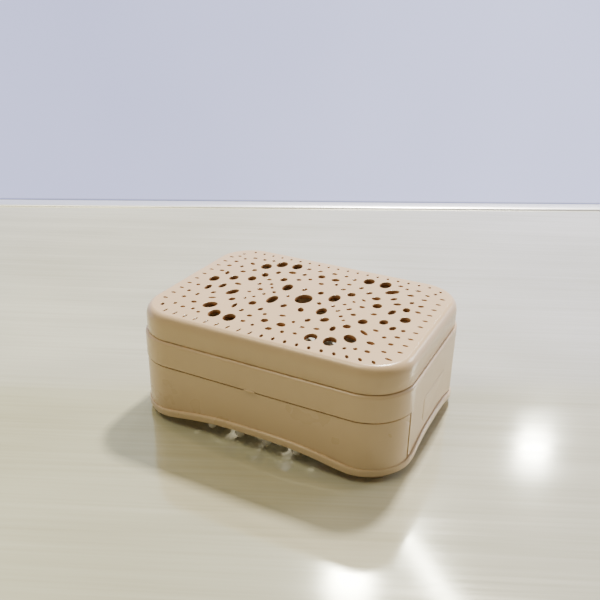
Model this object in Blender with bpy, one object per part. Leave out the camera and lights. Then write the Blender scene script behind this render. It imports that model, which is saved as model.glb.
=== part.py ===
# Roller soap dish: a two-part box with a perforated lift-off lid and four knobbed rollers.
# Metres, +Z up, the feet stand on z = 0, +X runs along the long side and -Y is the front.

import math

import bmesh
import bpy
from mathutils import Matrix, Vector

MM = 0.001

# Driving sizes of the outside
LENGTH = 120.0 * MM
WIDTH = 88.9 * MM
CORNER_RADIUS = 19.0 * MM
LID_TOP = 49.3 * MM
BAND_TOP = 38.2 * MM
SEAM = 27.0 * MM
RIM_BOTTOM = 3.0 * MM

# Plastic walls, the gaps left between pieces, and how far joined features run into a wall
WALL = 1.5 * MM
GAP = 0.3 * MM
SEAM_GAP = 0.5 * MM
OVERLAP = 0.4 * MM

# Upper body
LIP_ROUND = 1.3 * MM
MOUTH_INSET = 2.3 * MM
SKIRT_THICKNESS = 1.3 * MM
SKIRT_HALF_WIDTH = 28.4 * MM
TONGUE_INSET = WALL + GAP
TONGUE_THICKNESS = 1.2 * MM
TONGUE_HEIGHT = 4.0 * MM
PAD_WIDTH = 27.0 * MM
PAD_HEIGHT = 11.0 * MM
PAD_TOP = 24.8 * MM
PAD_RELIEF = 0.25 * MM
PRY_LIP_CENTRE = -1.2 * MM
PRY_LIP_WIDTH = 4.8 * MM
PRY_LIP_REACH = 0.45 * MM

# Base shell: its wall stands inside the upper body's outline, and its rim flares past it
BASE_INSET = 0.3 * MM
RIM_FLARE = 1.0 * MM
RIM_CORNER = 22.0 * MM
RIM_HEIGHT = 3.1 * MM
ARCH_LONG = 4.1 * MM
ARCH_SHORT = 3.9 * MM
ARCH_POWER = 1.55
ARCH_END = 11.4 * MM
FOOT_ANGLES = (42.0, 60.0)
FOOT_INSET = 2.8 * MM
FOOT_WIDTH = 1.9 * MM
FOOT_ROOT = 1.2 * MM
FOOT_TOP = 9.6 * MM
DECK_TOP = 10.6 * MM
DECK_THICKNESS = 1.6 * MM
BAY_HALF_X = 27.4 * MM
BAY_RIB_TOP = 13.0 * MM
BAY_RIB_BOTTOM = 7.2 * MM
BAY_RIB_THICKNESS = 1.4 * MM
DRAIN_SLOT = (3.0 * MM, 44.0 * MM)
DRAIN_SLOT_COUNT = 4
DRAIN_SLOT_PITCH = 6.2 * MM
FIRST_DRAIN_SLOT = BAY_HALF_X + 7.0 * MM

# Lid
LID_INSET = 0.9 * MM
LID_WALL = 1.8 * MM
LID_ROUND_REACH = 3.1 * MM
LID_ROUND_DROP = 5.0 * MM
LID_INNER_ROUND = 1.3 * MM
PLUG_THICKNESS = 1.3 * MM
PLUG_DEPTH = 4.6 * MM

# Rollers
ROLLER_COUNT = 4
ROLLER_PITCH = 13.2 * MM
KNOB_TIP_RADIUS = 6.4 * MM
KNOB_FLOOR_GAP = 0.5 * MM
CORE_RADIUS = 3.3 * MM
CORE_HALF_LENGTH = 40.8 * MM
JOURNAL_RADIUS = 1.05 * MM
JOURNAL_END = 42.1 * MM
KNOB_RADIUS = 1.75 * MM
KNOB_ROOT = 2.5 * MM
KNOB_RINGS = 13
KNOBS_PER_RING = 4
KNOB_RING_END = 40.3 * MM
ROLLER_TURNS = (-26.0, -22.0, -30.0, -24.0)
AXIS_HEIGHT = KNOB_FLOOR_GAP + KNOB_TIP_RADIUS

# Bearings, each open below with a mouth narrower than its journal
BEARING_RADIUS = 2.2 * MM
BEARING_BORE = 1.1 * MM
BEARING_MOUTH = 1.8 * MM
BEARING_BOTTOM = 5.6 * MM
BEARING_INNER_FACE = CORE_HALF_LENGTH + GAP

# Holes of the lid, chosen one by one, in millimetres: distance along X and Y from the middle,
# width, height and lean in degrees against the clock
HOLES = (
    # on the middle lines
    (0.0, -0.4, 7.3, 9.2, 0), (-45.2, 0.1, 4.4, 6.0, 5), (45.1, 0.9, 4.4, 5.2, 0),
    (-32.7, 0.1, 3.6, 2.1, -10), (31.9, -0.1, 2.8, 2.1, 15), (-21.2, -0.4, 2.7, 2.4, 0),
    (21.2, -0.5, 1.8, 2.8, -35), (-14.3, -0.3, 1.7, 2.4, 30), (14.1, -1.0, 1.6, 2.3, -10),
    (-7.2, -1.0, 1.5, 2.2, 30), (7.8, -1.3, 1.9, 3.0, 35), (-0.3, -19.1, 3.1, 1.8, 8),
    (0.3, -31.9, 3.0, 2.5, 0), (-0.2, 17.7, 2.6, 2.2, 0), (0.3, 31.1, 2.8, 2.1, 0),
    # front left quarter
    (-37.7, -4.9, 2.8, 5.1, -5), (-47.7, -9.1, 1.9, 1.9, 0), (-42.5, -9.1, 2.7, 5.1, 5),
    (-30.4, -8.6, 3.9, 6.8, -22), (-24.1, -4.8, 2.0, 1.5, 0), (-17.3, -4.0, 1.6, 2.0, 20),
    (-19.8, -8.4, 1.6, 1.8, 0), (-22.3, -11.5, 1.3, 1.9, 25), (-11.5, -7.2, 4.2, 7.9, 0),
    (-4.3, -10.5, 2.6, 3.5, -10), (-37.2, -13.0, 1.9, 2.6, -30), (-26.6, -15.1, 2.7, 3.3, -35),
    (-17.1, -14.3, 3.3, 4.0, 0), (-42.2, -17.9, 1.6, 2.6, 0), (-34.8, -17.8, 3.6, 1.6, 30),
    (-22.5, -19.9, 1.9, 4.6, 8), (-11.1, -18.0, 2.1, 3.0, -8), (-47.6, -16.3, 1.9, 1.8, 0),
    (-45.9, -22.6, 2.1, 1.8, 20), (-39.1, -25.1, 2.7, 2.1, 0), (-31.7, -24.2, 5.0, 6.6, -33),
    (-17.5, -22.6, 1.9, 2.5, -15), (-7.2, -21.3, 1.7, 2.0, 0), (-12.0, -25.4, 2.5, 2.0, 0),
    (-4.5, -26.4, 3.1, 3.3, -20), (-45.2, -29.9, 1.6, 1.9, 0), (-25.7, -30.3, 5.0, 7.0, 8),
    (-18.4, -30.7, 5.2, 6.7, 12), (-40.5, -31.2, 2.2, 1.7, 20), (-35.7, -30.8, 1.7, 1.9, 0),
    (-32.1, -32.4, 1.9, 1.6, -25), (-11.8, -30.9, 2.2, 1.9, 0), (-6.8, -32.1, 1.5, 2.0, 15),
    (-49.3, -33.1, 1.6, 2.3, 20),
    # front right quarter
    (17.7, -4.2, 1.6, 2.4, -30), (24.7, -4.5, 2.5, 2.3, 0), (38.1, -5.0, 3.6, 4.4, 0),
    (11.9, -7.8, 4.2, 6.9, 3), (3.7, -10.5, 2.5, 4.2, 28), (20.8, -8.3, 1.8, 2.1, 0),
    (30.5, -8.6, 3.9, 4.6, 0), (43.2, -8.6, 2.6, 3.8, -15), (47.6, -8.6, 1.9, 2.1, 0),
    (23.2, -11.2, 1.6, 1.5, 0), (16.3, -14.3, 3.4, 4.3, -20), (26.6, -15.5, 3.3, 3.3, 0),
    (38.0, -13.4, 2.6, 1.8, -10), (47.4, -14.8, 2.4, 1.8, 0), (34.6, -17.3, 4.9, 1.8, -38),
    (10.5, -18.0, 2.4, 3.3, -10), (22.4, -19.9, 2.3, 4.3, 8), (43.0, -17.3, 1.8, 2.0, 0),
    (6.3, -22.1, 1.5, 2.1, 25), (47.2, -21.4, 2.2, 1.9, 0), (17.0, -23.2, 2.6, 1.9, 10),
    (11.4, -24.5, 2.2, 1.6, 10), (31.8, -24.5, 4.8, 6.9, 40), (40.1, -24.1, 3.6, 2.4, -12),
    (3.0, -26.5, 3.9, 3.3, -15), (18.1, -30.7, 5.0, 6.5, 0), (25.9, -30.1, 5.2, 7.3, 12),
    (47.0, -28.2, 2.2, 1.5, -5), (11.3, -30.7, 2.2, 1.6, -35), (6.3, -31.8, 1.6, 2.3, 25),
    (33.0, -32.6, 1.5, 2.0, 0), (36.8, -31.1, 1.7, 1.9, 0), (41.5, -30.9, 2.5, 1.9, -15),
    (50.5, -32.7, 3.2, 1.3, -12),
    # back left quarter
    (-45.2, 27.5, 1.6, 1.9, 20), (-49.3, 29.2, 2.0, 1.4, 0), (-41.4, 30.6, 2.2, 1.8, 0),
    (-36.3, 30.8, 2.0, 1.9, 0), (-31.8, 31.7, 1.7, 1.9, 20), (-26.2, 29.6, 4.9, 7.0, 0),
    (-18.8, 30.8, 4.7, 6.8, 8), (-12.5, 30.6, 2.5, 2.0, 0), (-6.8, 30.8, 2.4, 1.8, 15),
    (-38.9, 23.8, 3.3, 1.9, -40), (-47.2, 22.7, 2.2, 2.0, 0), (-31.6, 24.0, 5.0, 6.6, 10),
    (-17.4, 23.1, 3.7, 2.8, 0), (-11.3, 23.5, 2.1, 2.5, 0), (-3.5, 25.2, 3.3, 3.8, 20),
    (-41.7, 18.5, 1.8, 2.4, 15), (-47.5, 16.7, 2.6, 2.0, 15), (-34.2, 17.3, 2.4, 2.5, 0),
    (-23.1, 20.0, 2.3, 3.3, 0), (-6.7, 19.9, 1.9, 2.2, 15), (-27.2, 14.8, 3.2, 4.7, 25),
    (-17.1, 14.0, 3.2, 3.9, 0), (-11.0, 17.0, 2.4, 2.2, 0), (-38.1, 13.4, 2.8, 2.2, 0),
    (-22.8, 10.9, 2.3, 1.8, 0), (-47.2, 9.8, 2.4, 1.7, 0), (-43.6, 8.6, 2.1, 3.8, 20),
    (-30.3, 8.3, 3.8, 5.3, 12), (-19.5, 6.8, 1.7, 2.0, 0), (-37.9, 5.0, 3.8, 5.2, -5),
    (-24.3, 4.6, 1.9, 2.4, 0), (-17.4, 3.5, 1.4, 2.1, 35), (-11.6, 7.1, 4.4, 7.2, 5),
    (-3.9, 8.5, 2.0, 3.3, -12),
    # back right quarter
    (6.3, 31.0, 1.9, 1.9, 0), (11.1, 29.2, 2.1, 2.3, 0), (17.6, 30.6, 4.9, 6.3, 0),
    (25.5, 30.4, 5.1, 7.2, 0), (31.9, 32.5, 2.4, 1.8, 0), (35.5, 30.6, 1.6, 1.7, 0),
    (40.5, 31.2, 2.7, 1.7, 0), (48.2, 31.3, 1.6, 1.7, 0), (45.6, 28.1, 2.2, 1.6, -15),
    (3.6, 24.8, 3.6, 3.1, 15), (11.1, 23.1, 2.3, 1.9, 0), (17.3, 22.1, 2.0, 2.6, -15),
    (6.1, 20.2, 1.5, 2.4, 20), (30.9, 24.4, 3.8, 6.8, -43), (39.1, 25.0, 3.2, 2.3, 0),
    (45.8, 23.2, 2.6, 1.6, 0), (22.5, 18.6, 2.2, 3.3, -30), (10.9, 16.9, 2.3, 1.9, 20),
    (34.0, 17.9, 2.1, 3.6, -30), (42.1, 17.9, 2.0, 2.5, -10), (46.6, 16.3, 2.7, 2.1, 30),
    (16.2, 13.5, 3.6, 4.1, 0), (27.2, 14.8, 3.9, 3.4, 30), (37.1, 13.6, 3.5, 2.4, 25),
    (23.2, 10.5, 2.6, 1.4, -35), (3.9, 8.6, 2.7, 3.5, 10), (42.4, 10.1, 3.1, 4.2, 15),
    (47.3, 10.3, 2.9, 1.8, -20), (11.3, 6.5, 4.8, 7.6, 0), (30.2, 8.1, 4.0, 4.6, 0),
    (20.1, 7.1, 1.4, 1.9, 40), (37.8, 5.2, 2.7, 5.1, -10), (25.1, 4.0, 2.6, 2.1, 0),
    (17.6, 2.9, 1.8, 1.7, 0), (49.5, 34.6, 1.3, 1.9, 25), (-48.9, 32.9, 1.3, 1.8, -20),
)
LARGE_HOLE = 7.0 * MM
MEDIUM_HOLE = 3.2 * MM

# Slits in rows along the long edges and in columns (x, middle, pitch) along the short edges
EDGE_ROW_COUNT = 19
FRONT_ROW_MIDDLE = 0.9 * MM
FRONT_ROW_PITCH = 5.07 * MM
FRONT_ROW_Y = -38.6 * MM
FRONT_ROW_DRAW_IN = 3.6 * MM
FRONT_LEFT_SLIT = (1.0 * MM, 3.1 * MM)
FRONT_LEFT_LEAN = -10.0
FRONT_RIGHT_SLIT = (1.4 * MM, 2.7 * MM)
FRONT_RIGHT_LEAN = 10.0
FRONT_LEAN_GAIN = 36.0
BACK_ROW_MIDDLE = -0.6 * MM
BACK_ROW_PITCH = 4.93 * MM
BACK_ROW_Y = 37.2 * MM
BACK_SLIT = (1.2 * MM, 1.9 * MM)
BACK_LEAN = 18.0
EDGE_COLUMN_COUNT = 10
EDGE_COLUMNS = (
    (-52.2 * MM, -0.25 * MM, 5.97 * MM),
    (52.5 * MM, 0.8 * MM, 5.92 * MM),
)
EDGE_COLUMN_SLIT = (2.4 * MM, 1.3 * MM)

# Mesh fineness
CORNER_ANGLES = (24.0, 40.0, 56.0, 73.0, 90.0)
LONG_SIDE_STEPS = 8
SHORT_SIDE_STEPS = 4
ROUND_STEPS = 3
CORE_SIDES = 8
KNOB_SIDES = 5
SHARP_ANGLE = 35.0


def clear_scene():
    for item in list(bpy.data.objects):
        bpy.data.objects.remove(item, do_unlink=True)


def plastic(name, colour, roughness):
    material = bpy.data.materials.new(name)
    material.use_nodes = True
    shader = material.node_tree.nodes["Principled BSDF"]
    shader.inputs["Base Color"].default_value = (*colour, 1.0)
    shader.inputs["Roughness"].default_value = roughness
    shader.inputs["Metallic"].default_value = 0.0
    return material


def add_object(name, mesh, material=None):
    item = bpy.data.objects.new(name, mesh)
    bpy.context.scene.collection.objects.link(item)
    if material:
        mesh.materials.append(material)
    return item


def mesh_from_bmesh(name, bm):
    bmesh.ops.recalc_face_normals(bm, faces=bm.faces)
    mesh = bpy.data.meshes.new(name)
    bm.to_mesh(mesh)
    bm.free()
    mesh.shade_smooth()
    mesh.set_sharp_from_angle(angle=math.radians(SHARP_ANGLE))
    return mesh


def stations():
    """Walk round a rounded rectangle in steps of (kind, sign along X, sign along Y, value).

    A side step has its share from -1 to 1 of the straight part. A corner has an arc step at
    angle 0, two edge steps where the skirt stops, and the remaining arc steps."""
    corner = [("arc", 0.0), ("edge", 0.0), ("edge", 0.05 * MM)]
    corner += [("arc", angle) for angle in CORNER_ANGLES]
    short = [-1 + 2 * k / SHORT_SIDE_STEPS for k in range(1, SHORT_SIDE_STEPS)]
    long = [-1 + 2 * k / LONG_SIDE_STEPS for k in range(1, LONG_SIDE_STEPS)]
    walk = [("side", 1, 0, share) for share in short]
    walk += [(kind, 1, 1, value) for kind, value in corner]
    walk += [("side", 0, 1, -share) for share in long]
    walk += [(kind, -1, 1, value) for kind, value in reversed(corner)]
    walk += [("side", -1, 0, -share) for share in short]
    walk += [(kind, -1, -1, value) for kind, value in corner]
    walk += [("side", 0, -1, share) for share in long]
    walk += [(kind, 1, -1, value) for kind, value in reversed(corner)]
    return walk


STATIONS = stations()


def place(station, half_x, half_y, radius, edge):
    """Point of one station on a rounded rectangle whose edge steps lie at |y| = edge."""
    kind, sign_x, sign_y, value = station
    centre_x = half_x - radius
    centre_y = half_y - radius
    if kind == "edge":
        y = edge + value
        x = centre_x + math.sqrt(radius ** 2 - (y - centre_y) ** 2)
        return sign_x * x, sign_y * y
    if kind == "arc":
        angle = math.radians(value)
        x = sign_x * (centre_x + radius * math.cos(angle))
        return x, sign_y * (centre_y + radius * math.sin(angle))
    if sign_x:
        return sign_x * half_x, centre_y * value
    return centre_x * value, sign_y * half_y


def is_skirt(station):
    """The stretch of each short side that the upper body's skirt covers."""
    kind, sign_x, _, value = station
    if kind == "side":
        return sign_x != 0
    return value == 0.0


def on_short_side(station):
    kind, sign_x, _, value = station
    if kind == "side":
        return sign_x != 0
    return kind == "edge" or value < 45.0


def arch(station, x, y):
    """Height of the rim's bottom: a flattened cosine wave along each side."""
    span, reach, rise = abs(x), LENGTH / 2 - ARCH_END, ARCH_LONG
    if on_short_side(station):
        span, reach, rise = abs(y), WIDTH / 2 - ARCH_END, ARCH_SHORT
    share = min(span / reach, 1.0) ** ARCH_POWER
    return RIM_BOTTOM + rise * 0.5 * (1.0 + math.cos(math.pi * share))


def upper_outline(inset):
    return LENGTH / 2 - inset, WIDTH / 2 - inset, CORNER_RADIUS - inset, SKIRT_HALF_WIDTH


def base_outline(inset):
    return LENGTH / 2 - inset, WIDTH / 2 - inset, CORNER_RADIUS - inset, SKIRT_HALF_WIDTH + GAP


def rim_outline(inset):
    half_x = LENGTH / 2 + RIM_FLARE - inset
    half_y = WIDTH / 2 + RIM_FLARE - inset
    return half_x, half_y, RIM_CORNER - inset, SKIRT_HALF_WIDTH + GAP


def ring_loop(bm, outline, inset, height):
    """One closed loop of vertices; inset and height may be values or functions.

    An inset function takes a station, and a height function a station and its x and y."""
    loop = []
    for station in STATIONS:
        depth = inset(station) if callable(inset) else inset
        x, y = place(station, *outline(depth))
        z = height(station, x, y) if callable(height) else height
        loop.append(bm.verts.new((x, y, z)))
    return loop


def skin_loops(bm, loops, closed):
    """Faces between neighbouring loops, and from the last back to the first if closed."""
    count = len(loops[0])
    pairs = list(zip(loops, loops[1:]))
    if closed:
        pairs.append((loops[-1], loops[0]))
    for lower, upper in pairs:
        for k in range(count):
            after = (k + 1) % count
            bm.faces.new((lower[k], lower[after], upper[after], upper[k]))


def swept_ring(name, sections):
    bm = bmesh.new()
    loops = [ring_loop(bm, *section) for section in sections]
    skin_loops(bm, loops, closed=True)
    return mesh_from_bmesh(name, bm)


def prism(bm, points, axis, start, end):
    """Extrude a flat outline of (u, v) points from start to end along the X, Y or Z axis."""
    to_space = {
        "X": lambda u, v, w: (w, u, v),
        "Y": lambda u, v, w: (u, w, v),
        "Z": lambda u, v, w: (u, v, w),
    }[axis]
    near = [bm.verts.new(to_space(u, v, start)) for u, v in points]
    far = [bm.verts.new(to_space(u, v, end)) for u, v in points]
    bm.faces.new(near)
    bm.faces.new(far)
    count = len(points)
    for k in range(count):
        after = (k + 1) % count
        bm.faces.new((near[k], near[after], far[after], far[k]))


def ellipse(centre_x, centre_y, width, height, lean, sides):
    """Outline of an oval; a positive lean turns it against the clock."""
    points = []
    turn = math.radians(lean)
    for k in range(sides):
        angle = 2 * math.pi * k / sides
        u = width / 2 * math.cos(angle)
        v = height / 2 * math.sin(angle)
        x = centre_x + u * math.cos(turn) - v * math.sin(turn)
        points.append((x, centre_y + u * math.sin(turn) + v * math.cos(turn)))
    return points


def rounded_box_outline(width, height, radius, steps=3):
    points = []
    for start, sign_x, sign_y in ((0, 1, 1), (90, -1, 1), (180, -1, -1), (270, 1, -1)):
        for k in range(steps + 1):
            angle = math.radians(start + 90 * k / steps)
            x = sign_x * (width / 2 - radius) + radius * math.cos(angle)
            points.append((x, sign_y * (height / 2 - radius) + radius * math.sin(angle)))
    return points


def box(bm, low, high):
    corners = ((low[0], low[1]), (high[0], low[1]), (high[0], high[1]), (low[0], high[1]))
    prism(bm, corners, "Z", low[2], high[2])


def combine(target, tool_bm, operation):
    """Boolean of a target object with a tool mesh, kept as a modifier with a hidden tool."""
    tool = add_object(f"{target.name}_{operation.lower()}_tool", mesh_from_bmesh("tool", tool_bm))
    tool.hide_render = True
    tool.display_type = "WIRE"
    modifier = target.modifiers.new(operation.title(), "BOOLEAN")
    modifier.operation = operation
    modifier.solver = "EXACT"
    modifier.object = tool
    return modifier


def make_upper_body(material):
    """Band with the rounded lip, and a skirt down each short side that the base's rim carries."""
    def bottom(station, x, y):
        if is_skirt(station):
            return arch(station, x, y) + RIM_HEIGHT + GAP
        return SEAM

    def skirt_inset(station):
        return SKIRT_THICKNESS if is_skirt(station) else WALL

    sections = [(upper_outline, 0.0, bottom)]
    lip_start = BAND_TOP - LIP_ROUND
    for k in range(ROUND_STEPS + 1):
        angle = math.radians(90 * k / ROUND_STEPS)
        inset = LIP_ROUND * (1 - math.cos(angle))
        sections.append((upper_outline, inset, lip_start + LIP_ROUND * math.sin(angle)))
    mouth_bottom = BAND_TOP - PLUG_DEPTH - 1.0 * MM
    sections += [
        (upper_outline, MOUTH_INSET, BAND_TOP),
        (upper_outline, MOUTH_INSET, mouth_bottom),
        (upper_outline, WALL, mouth_bottom - 1.0 * MM),
        (upper_outline, WALL, SEAM + 0.6 * MM),
        (upper_outline, skirt_inset, SEAM + 0.3 * MM),
        (upper_outline, skirt_inset, bottom),
    ]
    body = add_object("upper_body", swept_ring("upper_body", sections), material)

    extras = bmesh.new()
    pad = rounded_box_outline(PAD_WIDTH, PAD_HEIGHT, 2.0 * MM)
    pad_middle = PAD_TOP - PAD_HEIGHT / 2
    pad_points = [(y, z + pad_middle) for y, z in pad]
    face = LENGTH / 2
    for side in (-1, 1):
        prism(extras, pad_points, "X", side * (face - 0.5 * MM), side * (face + PAD_RELIEF))
    front = -WIDTH / 2
    lip = (
        (front + 0.5 * MM, SEAM + 0.1 * MM), (front - PRY_LIP_REACH, SEAM - 0.35 * MM),
        (front - PRY_LIP_REACH, SEAM + 0.25 * MM), (front + 0.5 * MM, SEAM + 0.9 * MM),
    )
    left = PRY_LIP_CENTRE - PRY_LIP_WIDTH / 2
    prism(extras, lip, "X", left, left + PRY_LIP_WIDTH)
    combine(body, extras, "UNION")
    return body


def make_base_walls():
    """Outer wall with the flared, arched rim, the skirts' pockets and the tongue of the seam."""
    pocket = SKIRT_THICKNESS + GAP

    def outer_inset(station):
        return pocket if is_skirt(station) else BASE_INSET

    def inner_inset(station):
        return pocket + SKIRT_THICKNESS if is_skirt(station) else BASE_INSET + WALL

    def rim(lift):
        return lambda station, x, y: arch(station, x, y) + lift

    tongue_inner = TONGUE_INSET + TONGUE_THICKNESS
    sections = [
        (base_outline, inner_inset, rim(0.0)),
        (rim_outline, 0.5 * MM, rim(0.0)),
        (rim_outline, 0.0, rim(0.5 * MM)),
        (rim_outline, 0.0, rim(RIM_HEIGHT - 0.9 * MM)),
        (rim_outline, 0.25 * MM, rim(RIM_HEIGHT - 0.3 * MM)),
        (rim_outline, 0.75 * MM, rim(RIM_HEIGHT)),
        (base_outline, outer_inset, rim(RIM_HEIGHT - 0.1 * MM)),
        (base_outline, outer_inset, SEAM - SEAM_GAP),
        (base_outline, TONGUE_INSET, SEAM - SEAM_GAP + 0.02 * MM),
        (base_outline, TONGUE_INSET, SEAM + TONGUE_HEIGHT),
        (base_outline, tongue_inner, SEAM + TONGUE_HEIGHT),
        (base_outline, tongue_inner, SEAM - 2.5 * MM),
        (base_outline, inner_inset, SEAM - 4.5 * MM),
    ]
    return swept_ring("base_shell", sections)


def add_feet(bm):
    """An arc-shaped foot rib inside each corner, standing on the floor below the rim."""
    steps = 4
    section = (
        (FOOT_INSET - FOOT_ROOT, RIM_BOTTOM + FOOT_ROOT), (FOOT_INSET, RIM_BOTTOM + FOOT_ROOT),
        (FOOT_INSET, 0.0), (FOOT_INSET + FOOT_WIDTH, 0.0),
        (FOOT_INSET + FOOT_WIDTH, FOOT_TOP), (FOOT_INSET - FOOT_ROOT, FOOT_TOP),
    )
    first, last = FOOT_ANGLES
    for sign_x, sign_y in ((1, 1), (-1, 1), (-1, -1), (1, -1)):
        rings = []
        for k in range(steps + 1):
            station = ("arc", sign_x, sign_y, first + (last - first) * k / steps)
            ring = []
            for inset, z in section:
                x, y = place(station, *rim_outline(inset))
                ring.append(bm.verts.new((x, y, z)))
            rings.append(ring)
        bm.faces.new(rings[0])
        bm.faces.new(rings[-1])
        skin_loops(bm, rings, closed=False)


def add_bearings(bm):
    """Half-round bosses on the long walls, each with a bore that is open below."""
    half_mouth = BEARING_MOUTH / 2
    below = BEARING_BOTTOM - AXIS_HEIGHT
    outer_start = math.asin(below / BEARING_RADIUS)
    inner_start = -math.acos(half_mouth / BEARING_BORE)
    outer_steps = 7
    inner_steps = 12
    profile = []
    for k in range(outer_steps + 1):
        angle = outer_start + (math.pi - 2 * outer_start) * k / outer_steps
        profile.append((BEARING_RADIUS * math.cos(angle), BEARING_RADIUS * math.sin(angle)))
    profile.append((-half_mouth, below))
    for k in range(inner_steps + 1):
        angle = math.pi - inner_start - (math.pi - 2 * inner_start) * k / inner_steps
        profile.append((BEARING_BORE * math.cos(angle), BEARING_BORE * math.sin(angle)))
    profile.append((half_mouth, below))
    wall_face = WIDTH / 2 - BASE_INSET - WALL + OVERLAP
    for x in roller_places():
        points = [(x + u, AXIS_HEIGHT + v) for u, v in profile]
        for side in (-1, 1):
            prism(bm, points, "Y", side * BEARING_INNER_FACE, side * wall_face)


def add_decks(bm):
    """Drain deck at each end of the roller bay, with an upright rib along the bay."""
    outline = base_outline(BASE_INSET + WALL - OVERLAP)
    half_y = outline[1]
    deck_end = LENGTH / 2 - SKIRT_THICKNESS - GAP - SKIRT_THICKNESS + OVERLAP
    for side in (-1, 1):
        points = []
        for station in STATIONS:
            if station[0] == "arc" and station[1] == side:
                x, y = place(station, *outline)
                points.append((max(-deck_end, min(deck_end, x)), y))
        points.sort(key=lambda point: math.atan2(point[1], side * point[0]))
        points = [(side * BAY_HALF_X, -half_y)] + points + [(side * BAY_HALF_X, half_y)]
        prism(bm, points, "Z", DECK_TOP - DECK_THICKNESS, DECK_TOP)


def add_bay_ribs(bm):
    half_y = WIDTH / 2 - BASE_INSET - WALL + OVERLAP
    for side in (-1, 1):
        near, far = sorted((side * BAY_HALF_X, side * (BAY_HALF_X + BAY_RIB_THICKNESS)))
        box(bm, (near, -half_y, BAY_RIB_BOTTOM), (far, half_y, BAY_RIB_TOP))


def drain_slots():
    """Cutter for the drain slots of both decks."""
    bm = bmesh.new()
    width, length = DRAIN_SLOT
    for side in (-1, 1):
        for k in range(DRAIN_SLOT_COUNT):
            slot = rounded_box_outline(width, length, width / 2 - 0.01 * MM, steps=2)
            x = side * (FIRST_DRAIN_SLOT + DRAIN_SLOT_PITCH * k)
            points = [(x + u, v) for u, v in slot]
            prism(bm, points, "Z", DECK_TOP - 3 * DECK_THICKNESS, DECK_TOP + DECK_THICKNESS)
    return bm


def make_base_shell(material):
    base = add_object("base_shell", make_base_walls(), material)
    for number, add_part in enumerate((add_feet, add_bearings, add_decks, add_bay_ribs)):
        tool = bmesh.new()
        add_part(tool)
        base.name = f"base_shell_{number}"
        combine(base, tool, "UNION")
    combine(base, drain_slots(), "DIFFERENCE")
    base.name = "base_shell"
    return base


def listed_holes():
    for x, y, width, height, lean in HOLES:
        yield x * MM, y * MM, width * MM, height * MM, lean


def edge_slits():
    """Slits along the four edges. The front row draws in towards the corners; its slits are
    thin on the left half, and wider with a growing lean on the right half."""
    for k in range(EDGE_ROW_COUNT):
        step = k - (EDGE_ROW_COUNT - 1) / 2
        x = FRONT_ROW_MIDDLE + FRONT_ROW_PITCH * step
        share = x / (LENGTH / 2)
        y = FRONT_ROW_Y + FRONT_ROW_DRAW_IN * share ** 4
        if step < 0:
            yield x, y, *FRONT_LEFT_SLIT, FRONT_LEFT_LEAN
        else:
            yield x, y, *FRONT_RIGHT_SLIT, FRONT_RIGHT_LEAN + FRONT_LEAN_GAIN * share
        x = BACK_ROW_MIDDLE + BACK_ROW_PITCH * step
        yield x, BACK_ROW_Y, *BACK_SLIT, BACK_LEAN
    for k in range(EDGE_COLUMN_COUNT):
        step = k - (EDGE_COLUMN_COUNT - 1) / 2
        for x, middle, pitch in EDGE_COLUMNS:
            yield x, middle + pitch * step, *EDGE_COLUMN_SLIT, 0.0


def lid_holes():
    """Cutter with every hole of the lid as an upright prism, a small one with fewer sides."""
    bm = bmesh.new()
    for hole in [*listed_holes(), *edge_slits()]:
        across = (hole[2] + hole[3]) / 2
        sides = 12 if across > LARGE_HOLE else 8 if across > MEDIUM_HOLE else 6
        prism(bm, ellipse(*hole, sides), "Z", LID_TOP - 2 * LID_WALL, LID_TOP + LID_WALL)
    return bm


def make_lid(material):
    """Perforated cap with a rounded top edge and a plug that drops into the body's mouth."""
    bottom = BAND_TOP + GAP
    plug_outer = MOUTH_INSET + GAP
    plug_inner = plug_outer + PLUG_THICKNESS
    inner = LID_INSET + LID_WALL
    inner_top = LID_TOP - LID_WALL
    bm = bmesh.new()
    sections = []
    for k in range(ROUND_STEPS + 1):
        angle = math.radians(90 - 90 * k / ROUND_STEPS)
        inset = LID_INSET + LID_ROUND_REACH * (1 - math.cos(angle))
        sections.append((upper_outline, inset, LID_TOP - LID_ROUND_DROP * (1 - math.sin(angle))))
    sections += [
        (upper_outline, LID_INSET, bottom),
        (upper_outline, plug_outer, bottom),
        (upper_outline, plug_outer, BAND_TOP - PLUG_DEPTH),
        (upper_outline, plug_inner, BAND_TOP - PLUG_DEPTH),
        (upper_outline, plug_inner, bottom + 0.8 * MM),
        (upper_outline, inner, bottom + 2.0 * MM),
    ]
    for k in range(ROUND_STEPS + 1):
        angle = math.radians(90 * k / ROUND_STEPS)
        inset = inner + LID_INNER_ROUND * (1 - math.cos(angle))
        sections.append((upper_outline, inset, inner_top - LID_INNER_ROUND * (1 - math.sin(angle))))
    loops = [ring_loop(bm, *section) for section in sections]
    skin_loops(bm, loops, closed=False)
    bm.faces.new(loops[0])
    bm.faces.new(loops[-1])
    lid = add_object("lid", mesh_from_bmesh("lid", bm), material)
    combine(lid, lid_holes(), "DIFFERENCE")
    return lid


def roller_places():
    middle = (ROLLER_COUNT - 1) / 2
    return [(k - middle) * ROLLER_PITCH for k in range(ROLLER_COUNT)]


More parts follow.
